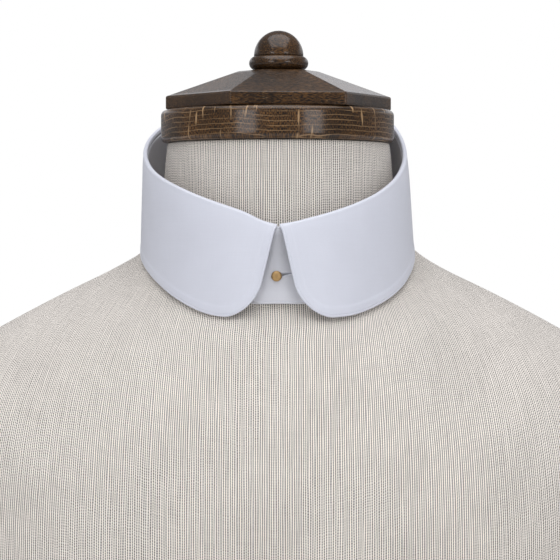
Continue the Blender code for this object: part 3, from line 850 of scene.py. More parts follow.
def band_inset(collar, angle, height, low, middle, high):
    """Distance in from the band's edges, its rounded ends and its buttonholes."""
    inset = min(height - low, high - height)
    past = max(-angle, angle - math.tau) * collar.radius - TAB_STRAIGHT
    if past > 0:
        length = TAB_LENGTH - TAB_STRAIGHT
        reach = math.hypot(past / length, (height - STUD_HEIGHT) / (band_foot(angle) - STUD_HEIGHT))
        inset = min(inset, abs(1 - reach) * length)
    along = front_slit(angle, collar.radius)
    front_gap = max(-EYELET_RADIUS - along, along - SLIT_LENGTH, 0.0)
    back_gap = max(0.0, abs(angle - math.pi) * collar.radius - BACK_SLIT_LENGTH / 2)
    half = slit_half(angle, collar.radius) or SLIT_HALF
    beside = max(0.0, abs(height - middle) - half)
    return min(inset, math.hypot(min(front_gap, back_gap), beside))


def bead_mesh_data(length, thickness):
    """Points and faces of one stitch lying along X: a short thread with round ends."""
    sides, rings = STITCH_SIDES, STITCH_RINGS
    places, faces = [], []
    for i in range(rings + 1):
        turn = math.pi * i / rings
        x = -math.cos(turn) * length / 2
        size = thickness / 2 * math.sin(turn) ** 0.5 if 0 < i < rings else 0.0
        for j in range(sides):
            around_x = math.tau * j / sides
            places.append(Vector((x, size * math.cos(around_x), size * math.sin(around_x))))
    for i in range(rings):
        for j in range(sides):
            k = (j + 1) % sides
            faces.append((i * sides + j, i * sides + k, (i + 1) * sides + k, (i + 1) * sides + j))
    return places, faces


def thread_mesh(name, stitches, length, thickness):
    """One mesh of many stitches. A stitch is its middle, its direction and the way it faces."""
    places, faces = bead_mesh_data(length, thickness)
    surface = bmesh.new()
    for middle, direction, facing in stitches:
        along = direction.normalized()
        across = facing.cross(along).normalized()
        turn = Matrix((along, across, along.cross(across))).transposed()
        points = [surface.verts.new(middle + turn @ place) for place in places]
        for face in faces:
            surface.faces.new([points[i] for i in face])
    bmesh.ops.remove_doubles(surface, verts=surface.verts, dist=ROUND_OFF * 10)
    return smooth_mesh(name, surface)


def stitches_along(path, pitch, raised):
    """Stitches at an even pitch along a path of points with their facings."""
    found, left = [], pitch / 2
    for (start, facing), (end, _) in zip(path, path[1:]):
        step = end - start
        length = step.length
        while left < length:
            found.append((start + step * (left / length) + facing * raised, step, facing))
            left += pitch
        left -= length
    return found


def leaf_stitch_path(collar, side):
    """The stitching line of half the leaf, down its front edge, round its corner and along its foot."""
    radius, inset = collar.sizes.corner_radius, collar.sizes.stitch_inset
    line = []
    for i in range(FRONT_SAMPLES):
        line.append((inset, radius + (FRONT_STITCH_TOP - radius) * (1 - i / FRONT_SAMPLES)))
    for i in range(CORNER_STEPS + 1):
        turn = math.pi / 2 * i / CORNER_STEPS
        size = radius - inset
        line.append((radius - size * math.cos(turn), radius - size * math.sin(turn)))
    end = math.pi * LEAF_RADIUS - FRONT_HALF_GAP
    line += [(radius + (end - radius) * i / FOOT_SAMPLES, inset) for i in range(1, FOOT_SAMPLES + 1)]
    return [collar.leaf_facing(side * (FRONT_HALF_GAP + front), above) for front, above in line]


def leaf_stitches(collar):
    """The stitching of the leaf's free edges, on its outer face."""
    raised = collar.sizes.cloth / 2
    found = []
    for side in (1, -1):
        found += stitches_along(leaf_stitch_path(collar, side), collar.sizes.stitch_pitch, raised)
    return found


def band_stitches(collar):
    """The stitching of the band's foot and of its round ends, on its outer and inner faces."""
    inset, tab = collar.sizes.stitch_inset, TAB_LENGTH / collar.radius
    angles = [-tab + (math.tau + 2 * tab) * (i + 0.5) / BAND_SAMPLES for i in range(BAND_SAMPLES)]
    found = []
    for edge in (0, 1):
        line = []
        for angle in angles:
            limits = collar.band_limits(angle)
            room = min(inset, (limits[1] - limits[0]) / 3)
            line.append(collar.band_facing(angle, limits[edge] + (room if edge == 0 else -room)))
        for raised in (collar.sizes.cloth / 2, -collar.sizes.cloth / 2):
            found += stitches_along(line, collar.sizes.stitch_pitch, raised)
    return found


def buttonhole_stitches(collar):
    """Close stitches that bind the front and back buttonholes, across their edges."""
    back = math.pi - BACK_SLIT_LENGTH / 2 / collar.radius
    spans = [(STUD_X / collar.radius, SLIT_LENGTH, EYELET_RADIUS), (back, BACK_SLIT_LENGTH, 0)]
    found = []
    for start, length, eyelet in spans:
        count = round((length - eyelet) / BINDING_PITCH)
        for i in range(count + 1):
            angle = start + (eyelet + (length - eyelet) * i / count) / collar.radius
            for side in (1, -1):
                half = slit_half(angle, collar.radius) or SLIT_HALF
                height = collar.slit_middle(angle) + side * (half + BINDING_REACH / 2 + BINDING_CLEARANCE)
                place, facing = collar.band_facing(angle, height)
                up = collar.band_place(angle, height + BINDING_REACH) - place
                for raised in (collar.sizes.cloth / 2, -collar.sizes.cloth / 2):
                    found.append((place + facing * raised, up, facing))
    return found


def smooth_mesh(name, surface):
    """Turns a closed surface into a mesh that is shaded smooth."""
    bmesh.ops.recalc_face_normals(surface, faces=surface.faces)
    mesh = bpy.data.meshes.new(name)
    surface.to_mesh(mesh)
    surface.free()
    mesh.shade_smooth()
    return mesh


def stacked_mesh(name, profile, outline):
    """A closed piece through the outline at each size and height of a profile, top to bottom."""
    surface = bmesh.new()
    rings = []
    for size, height in profile:
        corners = outline(size) if size > 0.0 else [(0, 0)]
        rings.append([surface.verts.new((x, y, height)) for x, y in corners])
    count = max(len(ring) for ring in rings)
    for upper, lower in zip(rings, rings[1:]):
        for i in range(count):
            k = (i + 1) % count
            corners = []
            for ring, place in ((upper, i), (lower, i), (lower, k), (upper, k)):
                vertex = ring[place % len(ring)]
                if vertex not in corners:
                    corners.append(vertex)
            surface.faces.new(corners)
    return smooth_mesh(name, surface)


def turned_mesh(name, profile, sides):
    """A turned piece from radius and height pairs, top to bottom."""
    turns = [math.tau * i / sides for i in range(sides)]
    return stacked_mesh(name, profile, lambda radius: [(radius * math.cos(t), radius * math.sin(t)) for t in turns])


def quarter(radius, height, size, start, steps=6):
    """A quarter round of a turned profile about (radius, height), from start degrees, clockwise."""
    turns = [math.radians(start - 90 * i / steps) for i in range(steps + 1)]
    return [(radius + size * math.cos(t), height + size * math.sin(t)) for t in turns]


def spread(first, last, count):
    """Points between two profile points, the last one left out."""
    (r0, z0), (r1, z1) = first, last
    return [(r0 + (r1 - r0) * i / count, z0 + (z1 - z0) * i / count) for i in range(count)]


def stud_profile(sizes, shank):
    """Radius and height pairs of a domed head, a shank of that length and a flat plate."""
    profile = []
    for i in range(DOME_STEPS + 1):
        turn = math.pi / 2 * i / DOME_STEPS
        dome = (HEAD_DEPTH - HEAD_SIDE) * math.cos(turn)
        profile.append((sizes.head_radius * math.sin(turn), shank + HEAD_SIDE + dome))
    profile += quarter(sizes.head_radius - STUD_EDGE, shank + STUD_EDGE, STUD_EDGE, 0)
    profile += [(sizes.shank_radius, shank), (sizes.shank_radius, 0.0)]
    profile += quarter(sizes.plate_radius - STUD_EDGE, -STUD_EDGE, STUD_EDGE, 90)
    profile += quarter(sizes.plate_radius - STUD_EDGE, STUD_EDGE - PLATE_DEPTH, STUD_EDGE, 0)
    return profile + [(0.0, -PLATE_DEPTH)]


def stud_place(collar, sizes):
    """The stud's place, square to the lapped band, and the length of its shank."""
    angle = STUD_X / collar.radius
    cloth = collar.sizes.cloth
    inner = collar.band_radius(math.tau + angle, STUD_HEIGHT) - cloth / 2 - PLATE_GAP
    front = collar.band_radius(angle, STUD_HEIGHT)
    shank = front + cloth / 2 + HEAD_GAP - inner
    lean = math.atan2(collar.band_radius(angle, STUD_HEIGHT + sizes.plate_radius) - front, sizes.plate_radius)
    outward = Matrix.Rotation(angle, 4, "Z") @ Matrix.Rotation(math.pi / 2 + lean, 4, "X")
    return Matrix.Translation(at(angle, inner, STUD_HEIGHT)) @ outward, shank


def form_ring(row, angle):
    """The point of one ring of the bust at an angle from the front."""
    ring = FormRing(*row)
    end_y, end_z = (ring.front_y, ring.front_z) if math.cos(angle) > 0 else (ring.back_y, ring.back_z)
    sine, cosine = math.sin(angle), abs(math.cos(angle))
    x = math.copysign(ring.side_x * abs(sine) ** (2 / ring.square), sine)
    y = ring.side_y + (end_y - ring.side_y) * cosine ** (2 / ring.square)
    z = ring.side_z + (end_z - ring.side_z) * cosine**ring.drop
    return Vector((x, y, COLLAR_LEVEL + z))


def form_column(angle, collar, steps):
    """Points down one column of the bust, smoothed between its rings."""
    rings = [form_ring(row, angle) for row in NECK_ROWS]
    band_seat = collar.radius + around("band_out", angle) - BAND_SEAT_IN
    leaf_seat = collar.radius + around("leaf_out", angle)
    rings.append(at(angle, band_seat, band_foot(angle) - BAND_SEAT_DOWN))
    rings.append(at(angle, leaf_seat, leaf_foot(angle) - LEAF_SEAT_DOWN))
    rings += [form_ring(row, angle) for row in BUST_ROWS]
    lengths = lengths_along(rings)
    curve = SmoothCurve(lengths, rings)
    points = []
    for start, end in zip(lengths, lengths[1:]):
        points += [curve.at(start + (end - start) * i / steps) for i in range(steps)]
    return points + [rings[-1]]


def bust_mesh(collar, sizes):
    """The linen-covered bust, closed at the neck and at the base, with its cloth laid out in metres."""
    count = sizes.columns_round
    columns = [form_column(math.tau * i / count, collar, sizes.steps) for i in range(count)]
    rows = len(columns[0])
    places = [point for column in columns for point in column]
    faces, flats = [], []
    arcs = [lengths_along([columns[i % count][j] for i in range(count + 1)]) for j in range(rows)]
    seam = count // 2
    depths = [lengths_along(column) for column in columns]
    for i in range(count):
        k = (i + 1) % count
        for j in range(rows - 1):
            faces.append((i * rows + j, i * rows + j + 1, k * rows + j + 1, k * rows + j))
            upper, lower = (arc if i < seam else [value - arc[-1] for value in arc] for arc in arcs[j : j + 2])
            flats += [(upper[i], depths[i][j]), (lower[i], depths[i][j + 1])]
            flats += [(lower[i + 1], depths[k][j + 1]), (upper[i + 1], depths[k][j])]
    for j, order in ((0, 1), (rows - 1, -1)):
        ring = [i * rows + j for i in range(count)][::order]
        faces.append(ring)
        flats += [tuple(places[i].xy) for i in ring]
    mesh = bpy.data.meshes.new("bust")
    mesh.from_pydata(places, [], faces)
    cut = mesh.uv_layers.new(name="cut")
    for loop, flat in zip(mesh.loops, flats):
        cut.data[loop.index].uv = flat
    mesh.shade_smooth()
    return mesh


def lengths_along(points):
    """Distance along a row of points, from its first to each of them."""
    found = [0.0]
    for start, end in zip(points, points[1:]):
        found.append(found[-1] + (end - start).length)
    return found


def ring_mesh(sizes):
    """The turned neck ring with rounded edges."""
    edge = sizes.ring_radius - sizes.ring_edge
    profile = [(0.0, RING_TOP)] + spread((edge * 0.5, RING_TOP), (edge, RING_TOP), 6)
    profile += quarter(edge, RING_TOP - sizes.ring_edge, sizes.ring_edge, 90, 10)
    side = spread(
        (sizes.ring_radius, RING_TOP - sizes.ring_edge), (sizes.ring_radius, RING_FOOT + sizes.ring_edge), 8
    )
    profile += side[1:]
    profile += quarter(edge, RING_FOOT + sizes.ring_edge, sizes.ring_edge, 0, 10)
    profile += [(0.0, RING_FOOT)]
    mesh = turned_mesh("ring", profile, RING_SIDES)
    wrap_grain(mesh)
    return mesh


def wrap_grain(mesh):
    """Lays the ring's grain out round its side: distance round, then height or distance out."""
    laid = mesh.uv_layers.new(name="grain")
    for face in mesh.polygons:
        middle = face.center
        start = math.atan2(middle.y, middle.x)
        for loop in face.loop_indices:
            place = mesh.vertices[mesh.loops[loop].vertex_index].co
            turn = math.atan2(place.y, place.x) if place.xy.length > ROUND_OFF else start
            turn = start + (turn - start + math.pi) % math.tau - math.pi
            laid.data[loop].uv = (turn * RING_GRAIN_RADIUS, place.z - place.xy.length)


def six_sided(size):
    """Points of a six-sided outline with round corners, that far from its middle to a corner."""
    corner = min(CAP_CORNER, size / 3)
    middle = size - corner / math.cos(math.pi / CAP_SIDES)

    def on_corner(turn, a):
        return Vector((middle * math.cos(turn) + corner * math.cos(a), middle * math.sin(turn) + corner * math.sin(a)))

    points = []
    for side in range(CAP_SIDES):
        turn, following = math.tau * side / CAP_SIDES, math.tau * side / CAP_SIDES + math.tau / CAP_SIDES
        for i in range(CAP_CORNER_STEPS + 1):
            points.append(on_corner(turn, turn + math.pi / 3 * (i / CAP_CORNER_STEPS - 0.5)))
        last, first = points[-1], on_corner(following, following - math.pi / 6)
        points += [last.lerp(first, share) for share in SIDE_SHARES]
    return points


def cap_mesh(sizes):
    """The six-sided cap: a low pyramid on a short block, every edge eased."""
    side, top = sizes.cap_radius, sizes.cap_top_radius
    slope = math.atan2(CAP_TOP - CAP_SHOULDER, (side - top) * math.cos(math.pi / 6))
    profile = [(0.0, CAP_TOP)] + spread((top * 0.3, CAP_TOP), (top - CAP_EDGE, CAP_TOP), 4)
    profile += eased((top, CAP_TOP), 0.0, slope)
    drop = CAP_EASED * (CAP_TOP - CAP_SHOULDER) / (side - top)
    inner, outer = (top + CAP_EASED, CAP_TOP - drop), (side - CAP_EASED, CAP_SHOULDER + drop)
    profile += spread(inner, outer, 14) + [outer]
    profile += eased((side, CAP_SHOULDER), slope, math.pi / 2)
    profile += spread((side, CAP_SHOULDER - CAP_EASED), (side, CAP_FOOT + CAP_EDGE), 6)
    profile += quarter(side - CAP_EDGE, CAP_FOOT + CAP_EDGE, CAP_EDGE, 0, 4)
    profile += [(0.0, CAP_FOOT)]
    return stacked_mesh("cap", profile, six_sided)


def eased(edge, before, after, steps=4):
    """Points round an eased edge of the cap, between the slopes before and after it."""
    (x, z) = edge
    found = []
    for i in range(steps + 1):
        t = i / steps
        start = (x - CAP_EDGE * math.cos(before), z + CAP_EDGE * math.sin(before))
        end = (x + CAP_EDGE * math.cos(after), z - CAP_EDGE * math.sin(after))
        found.append(
            (
                start[0] * (1 - t) ** 2 + 2 * x * t * (1 - t) + end[0] * t * t,
                start[1] * (1 - t) ** 2 + 2 * z * t * (1 - t) + end[1] * t * t,
            )
        )
    return found


def knob_mesh(sizes):
    """The turned knob: a round bead with a dome on it."""
    half = BEAD_HEIGHT / 2
    dome_foot = KNOB_FOOT + BEAD_HEIGHT
    profile = []
    for i in range(KNOB_STEPS + 1):
        turn = math.pi / 2 * i / KNOB_STEPS
        profile.append((sizes.dome_radius * math.sin(turn), dome_foot + (DOME_TOP - dome_foot) * math.cos(turn)))
    for i in range(1, BEAD_STEPS + 1):
        turn = math.pi * (i / BEAD_STEPS - 0.5)
        out = sizes.bead_radius - half + half * math.cos(turn)
        profile.append((out, KNOB_FOOT + half - half * math.sin(turn)))
    profile.append((0.0, KNOB_FOOT))
    return turned_mesh("knob", profile, KNOB_SIDES)


def add_node(tree, kind, values=(), **settings):
    """A node with its settings made and its inputs given, as values or as sockets to link from."""
    made = tree.nodes.new(kind)
    for name, value in settings.items():
        setattr(made, name, value)
    for socket, value in dict(values).items():
        if isinstance(value, bpy.types.NodeSocket):
            tree.links.new(value, made.inputs[socket])
        else:
            made.inputs[socket].default_value = value
    return made


def maths(tree, operation, first, second=0.0, third=0.0, clamp=False):
    """The output of a math node."""
    made = add_node(tree, "ShaderNodeMath", {0: first, 1: second, 2: third}, operation=operation)
    made.use_clamp = clamp
    return made.outputs[0]


def held_range(tree, value, given, wanted=(0.0, 1.0)):
    """A value moved from a given range to a wanted one, and held at its ends."""
    ends = {"From Min": given[0], "From Max": given[1], "To Min": wanted[0], "To Max": wanted[1]}
    return add_node(tree, "ShaderNodeMapRange", {"Value": value, **ends}).outputs["Result"]


def new_group(name, inputs, outputs):
    """An empty shader node group with its named inputs and outputs, and its two end nodes."""
    tree = bpy.data.node_groups.new(name, "ShaderNodeTree")
    for socket, (kind, value) in inputs.items():
        made = tree.interface.new_socket(socket, in_out="INPUT", socket_type=kind)
        if value is not None:
            made.default_value = value
    for socket in outputs:
        tree.interface.new_socket(socket, in_out="OUTPUT", socket_type="NodeSocketFloat")
    return tree, tree.nodes.new("NodeGroupInput").outputs, tree.nodes.new("NodeGroupOutput").inputs


def stretched_noise(tree, vector, stretch, detail, roughness=0.5):
    """A noise texture whose pattern is stretched by a scale for each axis, in patterns a metre."""
    scaled = add_node(tree, "ShaderNodeVectorMath", {0: vector, 1: stretch}, operation="MULTIPLY").outputs[0]
    noise = add_node(tree, "ShaderNodeTexNoise", {"Vector": scaled, "Scale": 1.0, "Detail": detail})
    noise.inputs["Roughness"].default_value = roughness
    return noise.outputs["Fac"]


def weave_group():
    """Plain weave: threads that pass over and under each other, with the slubs of real yarn."""
    found = bpy.data.node_groups.get("plain_weave")
    if found:
        return found
    tree, given, out = new_group(
        "plain_weave",
        {
            "Vector": ("NodeSocketVector", None),
            "Warp Pitch": ("NodeSocketFloat", 0.0003),
            "Weft Pitch": ("NodeSocketFloat", 0.0003),
            "Slub": ("NodeSocketFloat", 0.2),
        },
        ("Height", "Gap", "Rib", "Tone"),
    )
    axes = add_node(tree, "ShaderNodeSeparateXYZ", {0: given["Vector"]}).outputs
    counts = []
    for axis, pitch, closeness in (("X", "Warp Pitch", (420, 30, 0)), ("Y", "Weft Pitch", (30, 420, 0))):
        drift = stretched_noise(tree, given["Vector"], closeness, 2.0)
        drift = maths(tree, "MULTIPLY", maths(tree, "SUBTRACT", drift, 0.5), given["Slub"])
        counts.append(maths(tree, "ADD", maths(tree, "DIVIDE", axes[axis], given[pitch]), drift))
    turns = [maths(tree, "SINE", maths(tree, "MULTIPLY", count, math.pi)) for count in counts]
    warp, weft = (maths(tree, "ABSOLUTE", turn) for turn in turns)
    over = maths(tree, "MULTIPLY_ADD", maths(tree, "MULTIPLY", *turns), 0.5, 0.5)
    height = maths(
        tree,
        "ADD",
        maths(tree, "MULTIPLY", warp, over),
        maths(tree, "MULTIPLY", weft, maths(tree, "SUBTRACT", 1.0, over)),
    )
    tree.links.new(height, out["Height"])
    gap = maths(tree, "SUBTRACT", 1.0, maths(tree, "MAXIMUM", warp, weft), clamp=True)
    tree.links.new(gap, out["Gap"])
    between = held_range(tree, warp, (0.80, 0.45))
    thread = maths(tree, "ROUND", counts[0])
    offset = add_node(tree, "ShaderNodeTexWhiteNoise", {"W": thread}, noise_dimensions="1D").outputs["Value"]
    dots = maths(tree, "MULTIPLY", maths(tree, "ADD", counts[1], offset), math.pi)
    dots = maths(tree, "ABSOLUTE", maths(tree, "SINE", dots))
    dotted = maths(tree, "MULTIPLY_ADD", dots, -0.9, 1.38)
    tree.links.new(maths(tree, "MULTIPLY", between, dotted), out["Rib"])
    down = stretched_noise(tree, given["Vector"], (1500, 45, 0), 2.0)
    across = stretched_noise(tree, given["Vector"], (45, 1500, 0), 2.0)
    tone = maths(tree, "MULTIPLY", maths(tree, "ADD", down, across), 0.5)
    tree.links.new(tone, out["Tone"])
    return tree


def mottle_group():
    """Slow unevenness of a finish, such as handling, dust and uneven stain."""
    found = bpy.data.node_groups.get("uneven_finish")
    if found:
        return found
    tree, given, out = new_group(
        "uneven_finish",
        {
            "Vector": ("NodeSocketVector", None),
            "Patches A Metre": ("NodeSocketFloat", 60.0),
            "Low": ("NodeSocketFloat", 0.9),
            "High": ("NodeSocketFloat", 1.1),
        },
        ("Value", "Speckle"),
    )
    noise = add_node(
        tree, "ShaderNodeTexNoise", {"Vector": given["Vector"], "Scale": given["Patches A Metre"], "Detail": 4.0}
    ).outputs["Fac"]
    spread_out = held_range(tree, noise, (0.3, 0.7), (given["Low"], given["High"]))
    tree.links.new(spread_out, out["Value"])
    fine = add_node(
        tree,
        "ShaderNodeTexNoise",
        {"Vector": given["Vector"], "Scale": maths(tree, "MULTIPLY", given["Patches A Metre"], 14.0)},
    ).outputs["Fac"]
    speckle = held_range(tree, fine, (0.62, 0.74))
    tree.links.new(speckle, out["Speckle"])
    return tree


def oak_group():
    """Oak: light growth lines along the piece, stain gathered in its pores, and its light rays."""
    found = bpy.data.node_groups.get("oak_grain")
    if found:
        return found
    tree, given, out = new_group(
        "oak_grain",
        {
            "Vector": ("NodeSocketVector", None),
            "Line Pitch": ("NodeSocketFloat", 0.0022),
            "Line Width": ("NodeSocketFloat", 0.20),
            "Waver": ("NodeSocketFloat", 1.0),
            "Pores A Metre": ("NodeSocketVector", (2300.0, 800.0, 2300.0)),
            "Rays A Metre": ("NodeSocketVector", (420.0, 60.0, 420.0)),
        },
        ("Lines", "Pores", "Rays", "Height"),
    )
    across = add_node(tree, "ShaderNodeSeparateXYZ", {0: given["Vector"]}).outputs["Y"]
    slow = stretched_noise(tree, given["Vector"], (14, 0, 14), 1.0)
    quick = stretched_noise(tree, given["Vector"], (90, 50, 90), 3.0)
    bend = maths(tree, "MULTIPLY_ADD", slow, 4.0, maths(tree, "MULTIPLY", quick, 0.7))
    bend = maths(tree, "MULTIPLY", bend, given["Waver"])
    wave = maths(tree, "FRACT", maths(tree, "ADD", maths(tree, "DIVIDE", across, given["Line Pitch"]), bend))
    from_line = maths(tree, "ABSOLUTE", maths(tree, "SUBTRACT", wave, 0.5))
    width = maths(tree, "MULTIPLY", given["Line Width"], 0.5)
    line = held_range(tree, from_line, (0.0, width), (1.0, 0.0))
    broken = stretched_noise(tree, given["Vector"], (60, 700, 700), 2.0)
    broken = held_range(tree, broken, (0.32, 0.6))
    lines = maths(tree, "MULTIPLY", line, broken)
    tree.links.new(lines, out["Lines"])
    pores = stretched_noise(tree, given["Vector"], given["Pores A Metre"], 1.0)
    pores = held_range(tree, pores, (0.38, 0.58))
    tree.links.new(pores, out["Pores"])
    rays = stretched_noise(tree, given["Vector"], given["Rays A Metre"], 1.0)
    rays = held_range(tree, rays, (0.66, 0.72))
    tree.links.new(rays, out["Rays"])
    height = maths(tree, "SUBTRACT", 1.0, pores)
    tree.links.new(height, out["Height"])
    return tree


def new_finish(name, colour, roughness):
    """A material with a Principled BSDF, its numbers set on the shader's own sockets."""
    finish = bpy.data.materials.new(name)
    finish.use_nodes = True
    shader = finish.node_tree.nodes["Principled BSDF"]
    shader.inputs["Base Color"].default_value = (*colour, 1.0)
    shader.inputs["Roughness"].default_value = roughness
    finish.diffuse_color = (*colour, 1.0)
    return finish, finish.node_tree, shader


def placed(tree, group, values):
    """A shared group placed in a material with its own values."""
    return add_node(tree, "ShaderNodeGroup", values, node_tree=group).outputs


def scaled_colour(tree, colour, factor):
    """A colour made lighter or darker by a factor that changes over the surface."""
    made = add_node(tree, "ShaderNodeVectorMath", {0: (*colour,)}, operation="SCALE")
    tree.links.new(factor, made.inputs["Scale"])
    return made.outputs[0]


def flat_place(tree, layer):
    """Where a point lies on the flat cut, in metres."""
    return add_node(tree, "ShaderNodeUVMap", uv_map=layer).outputs["UV"]


def bumped(tree, shader, height, distance, strength=1.0):
    """Feeds a height into the shader's normal."""
    made = add_node(tree, "ShaderNodeBump", {"Height": height, "Distance": distance, "Strength": strength})
    tree.links.new(made.outputs["Normal"], shader.inputs["Normal"])


def painted_band_shade_group():
    """A mask of painted shade on the band's front, where the leaf's fold and front edges shade it: strongest above the
    stud, weaker at and below it, and none at its very tip.
    """
    found = bpy.data.node_groups.get("handled_front")
    if found:
        return found
    tree, given, out = new_group("handled_front", {"Vector": ("NodeSocketVector", None)}, ("Value",))
    axes = add_node(tree, "ShaderNodeSeparateXYZ", {0: given["Vector"]}).outputs
    mask = 1.0
    for axis, start, end, least in (
        ("Y", -0.045, -0.058, 0.0),
        ("Z", COLLAR_LEVEL - 0.006, COLLAR_LEVEL + 0.012, 0.3),
        ("Z", COLLAR_LEVEL + 0.0240, COLLAR_LEVEL + 0.0210, 0.0),
    ):
        mask = maths(tree, "MULTIPLY", held_range(tree, axes[axis], (start, end), (least, 1.0)), mask)
    tree.links.new(mask, out["Value"])
    return tree


def cotton_finish(name, colour, painted_shade_strength):
    """Starched white cotton: a fine weave with a faint gloss from the iron, and painted shade where the band lies in
    the shade of the leaf.
    """
    finish, tree, shader = new_finish(name, colour, 0.6)
    cut = flat_place(tree, "cut")
    weave = placed(
        tree, weave_group(), {"Vector": cut, "Warp Pitch": 0.00034, "Weft Pitch": 0.00034, "Slub": 0.25}
    )
    uneven = placed(
        tree, mottle_group(), {"Vector": cut, "Patches A Metre": 55.0, "Low": 0.985, "High": 1.015}
    )
    place = add_node(tree, "ShaderNodeTexCoord").outputs["Object"]
    # Painted shade: darkens the band's front under the leaf's fold and between its front edges.
    painted_shade = placed(tree, painted_band_shade_group(), {"Vector": place})["Value"]
    unshaded = maths(tree, "MULTIPLY_ADD", painted_shade, -painted_shade_strength, 1.0)
    gaps = maths(tree, "MULTIPLY_ADD", weave["Gap"], -0.14, 1.02)
    thread = maths(tree, "MULTIPLY_ADD", weave["Tone"], 0.06, 0.97)
    factor = maths(tree, "MULTIPLY", maths(tree, "MULTIPLY", gaps, thread), uneven["Value"])
    factor = maths(tree, "MULTIPLY", factor, unshaded)
    tree.links.new(scaled_colour(tree, colour, factor), shader.inputs["Base Color"])
    rough = maths(tree, "MULTIPLY_ADD", weave["Tone"], 0.14, 0.40)
    tree.links.new(rough, shader.inputs["Roughness"])
    shader.inputs["Specular IOR Level"].default_value = 0.5
    shader.inputs["Coat Weight"].default_value = 0.3
    shader.inputs["Coat Roughness"].default_value = 0.3
    shader.inputs["Sheen Weight"].default_value = 0.08
    shader.inputs["Sheen Roughness"].default_value = 0.4
    bumped(tree, shader, weave["Height"], 0.00004)
    return finish


def thread_finish(sizes):
    """White sewing thread, a little shinier than the cloth."""
    found = bpy.data.materials.get("white_thread")
    if found:
        return found
    finish, tree, shader = new_finish("white_thread", sizes.colour, 0.5)
    place = add_node(tree, "ShaderNodeTexCoord").outputs["Object"]
    uneven = placed(
        tree, mottle_group(), {"Vector": place, "Patches A Metre": 900.0, "Low": 0.9, "High": 1.0}
    )
    tree.links.new(scaled_colour(tree, sizes.colour, uneven["Value"]), shader.inputs["Base Color"])
    tree.links.new(maths(tree, "MULTIPLY_ADD", uneven["Speckle"], 0.15, 0.45), shader.inputs["Roughness"])
    return finish


def brass_finish(sizes):
    """Brass, dulled by handling."""
    finish, tree, shader = new_finish("dulled_brass", sizes.colour, 0.35)
    shader.inputs["Metallic"].default_value = 1.0
    place = add_node(tree, "ShaderNodeTexCoord").outputs["Object"]
    uneven = placed(
        tree, mottle_group(), {"Vector": place, "Patches A Metre": 500.0, "Low": 0.85, "High": 1.05}
    )
    tree.links.new(scaled_colour(tree, sizes.colour, uneven["Value"]), shader.inputs["Base Color"])
    rough = maths(tree, "MULTIPLY_ADD", uneven["Speckle"], 0.15, 0.5)
    tree.links.new(rough, shader.inputs["Roughness"])
    bumped(tree, shader, uneven["Value"], 0.00002)
    return finish


def linen_finish(sizes):
    """Coarse unbleached linen with upright ribs."""
    finish, tree, shader = new_finish("ribbed_linen", sizes.colour, 0.85)
    cut = flat_place(tree, "cut")
    weave = placed(
        tree,
        weave_group(),
        {"Vector": cut, "Warp Pitch": sizes.rib_pitch, "Weft Pitch": sizes.rib_pitch * 1.15, "Slub": 0.8},
    )
    uneven = placed(tree, mottle_group(), {"Vector": cut, "Patches A Metre": 28.0, "Low": 0.95, "High": 1.04})
    gaps = maths(tree, "MULTIPLY_ADD", weave["Rib"], -0.95, 1.13)
    thread = maths(tree, "MULTIPLY_ADD", weave["Tone"], 0.44, 0.78)
    factor = maths(tree, "MULTIPLY", maths(tree, "MULTIPLY", gaps, thread), uneven["Value"])
    tree.links.new(scaled_colour(tree, sizes.colour, factor), shader.inputs["Base Color"])
    rough = maths(tree, "MULTIPLY_ADD", weave["Gap"], 0.12, 0.8)
    tree.links.new(rough, shader.inputs["Roughness"])
    shader.inputs["Sheen Weight"].default_value = 0.1
    shader.inputs["Sheen Roughness"].default_value = 0.5
    shader.inputs["Specular IOR Level"].default_value = 0.25
    bumped(tree, shader, weave["Height"], 0.00022)
    return finish


def wood_finish(name, sizes, place_layer, grain_values, strengths, depth):
    """Dark-stained oak under varnish. Its grain follows a laid-out layer, or the piece's own axes."""
    finish, tree, shader = new_finish(name, sizes.dark_colour, 0.4)
    if place_layer:
        place = flat_place(tree, place_layer)
    else:
        place = add_node(tree, "ShaderNodeTexCoord").outputs["Object"]
    grain = placed(tree, oak_group(), {"Vector": place, **grain_values})
    uneven = placed(tree, mottle_group(), {"Vector": place, "Patches A Metre": 45.0, "Low": 0.35, "High": 1.6})
    stained = add_node(tree, "ShaderNodeMix", {0: grain["Pores"]}, data_type="RGBA")
    stained.inputs[6].default_value = (*sizes.light_colour, 1.0)
    stained.inputs[7].default_value = (*sizes.dark_colour, 1.0)
    shaded = add_node(tree, "ShaderNodeVectorMath", {0: stained.outputs[2]}, operation="SCALE")
    tree.links.new(maths(tree, "MULTIPLY", uneven["Value"], depth), shaded.inputs["Scale"])
    lines, rays = strengths
    light = maths(
        tree, "MAXIMUM", maths(tree, "MULTIPLY", grain["Lines"], lines), maths(tree, "MULTIPLY", grain["Rays"], rays)
    )
    mixed = add_node(tree, "ShaderNodeMix", {0: light, 6: shaded.outputs[0]}, data_type="RGBA")
    mixed.inputs[7].default_value = (*sizes.line_colour, 1.0)
    tree.links.new(mixed.outputs[2], shader.inputs["Base Color"])
    rough = maths(tree, "MULTIPLY_ADD", grain["Pores"], 0.12, 0.34)
    tree.links.new(rough, shader.inputs["Roughness"])
    shader.inputs["Coat Weight"].default_value = 0.75
    shader.inputs["Coat Roughness"].default_value = 0.17
    shader.inputs["Specular IOR Level"].default_value = 0.1
    bumped(tree, shader, grain["Height"], 0.00004)
    return finish


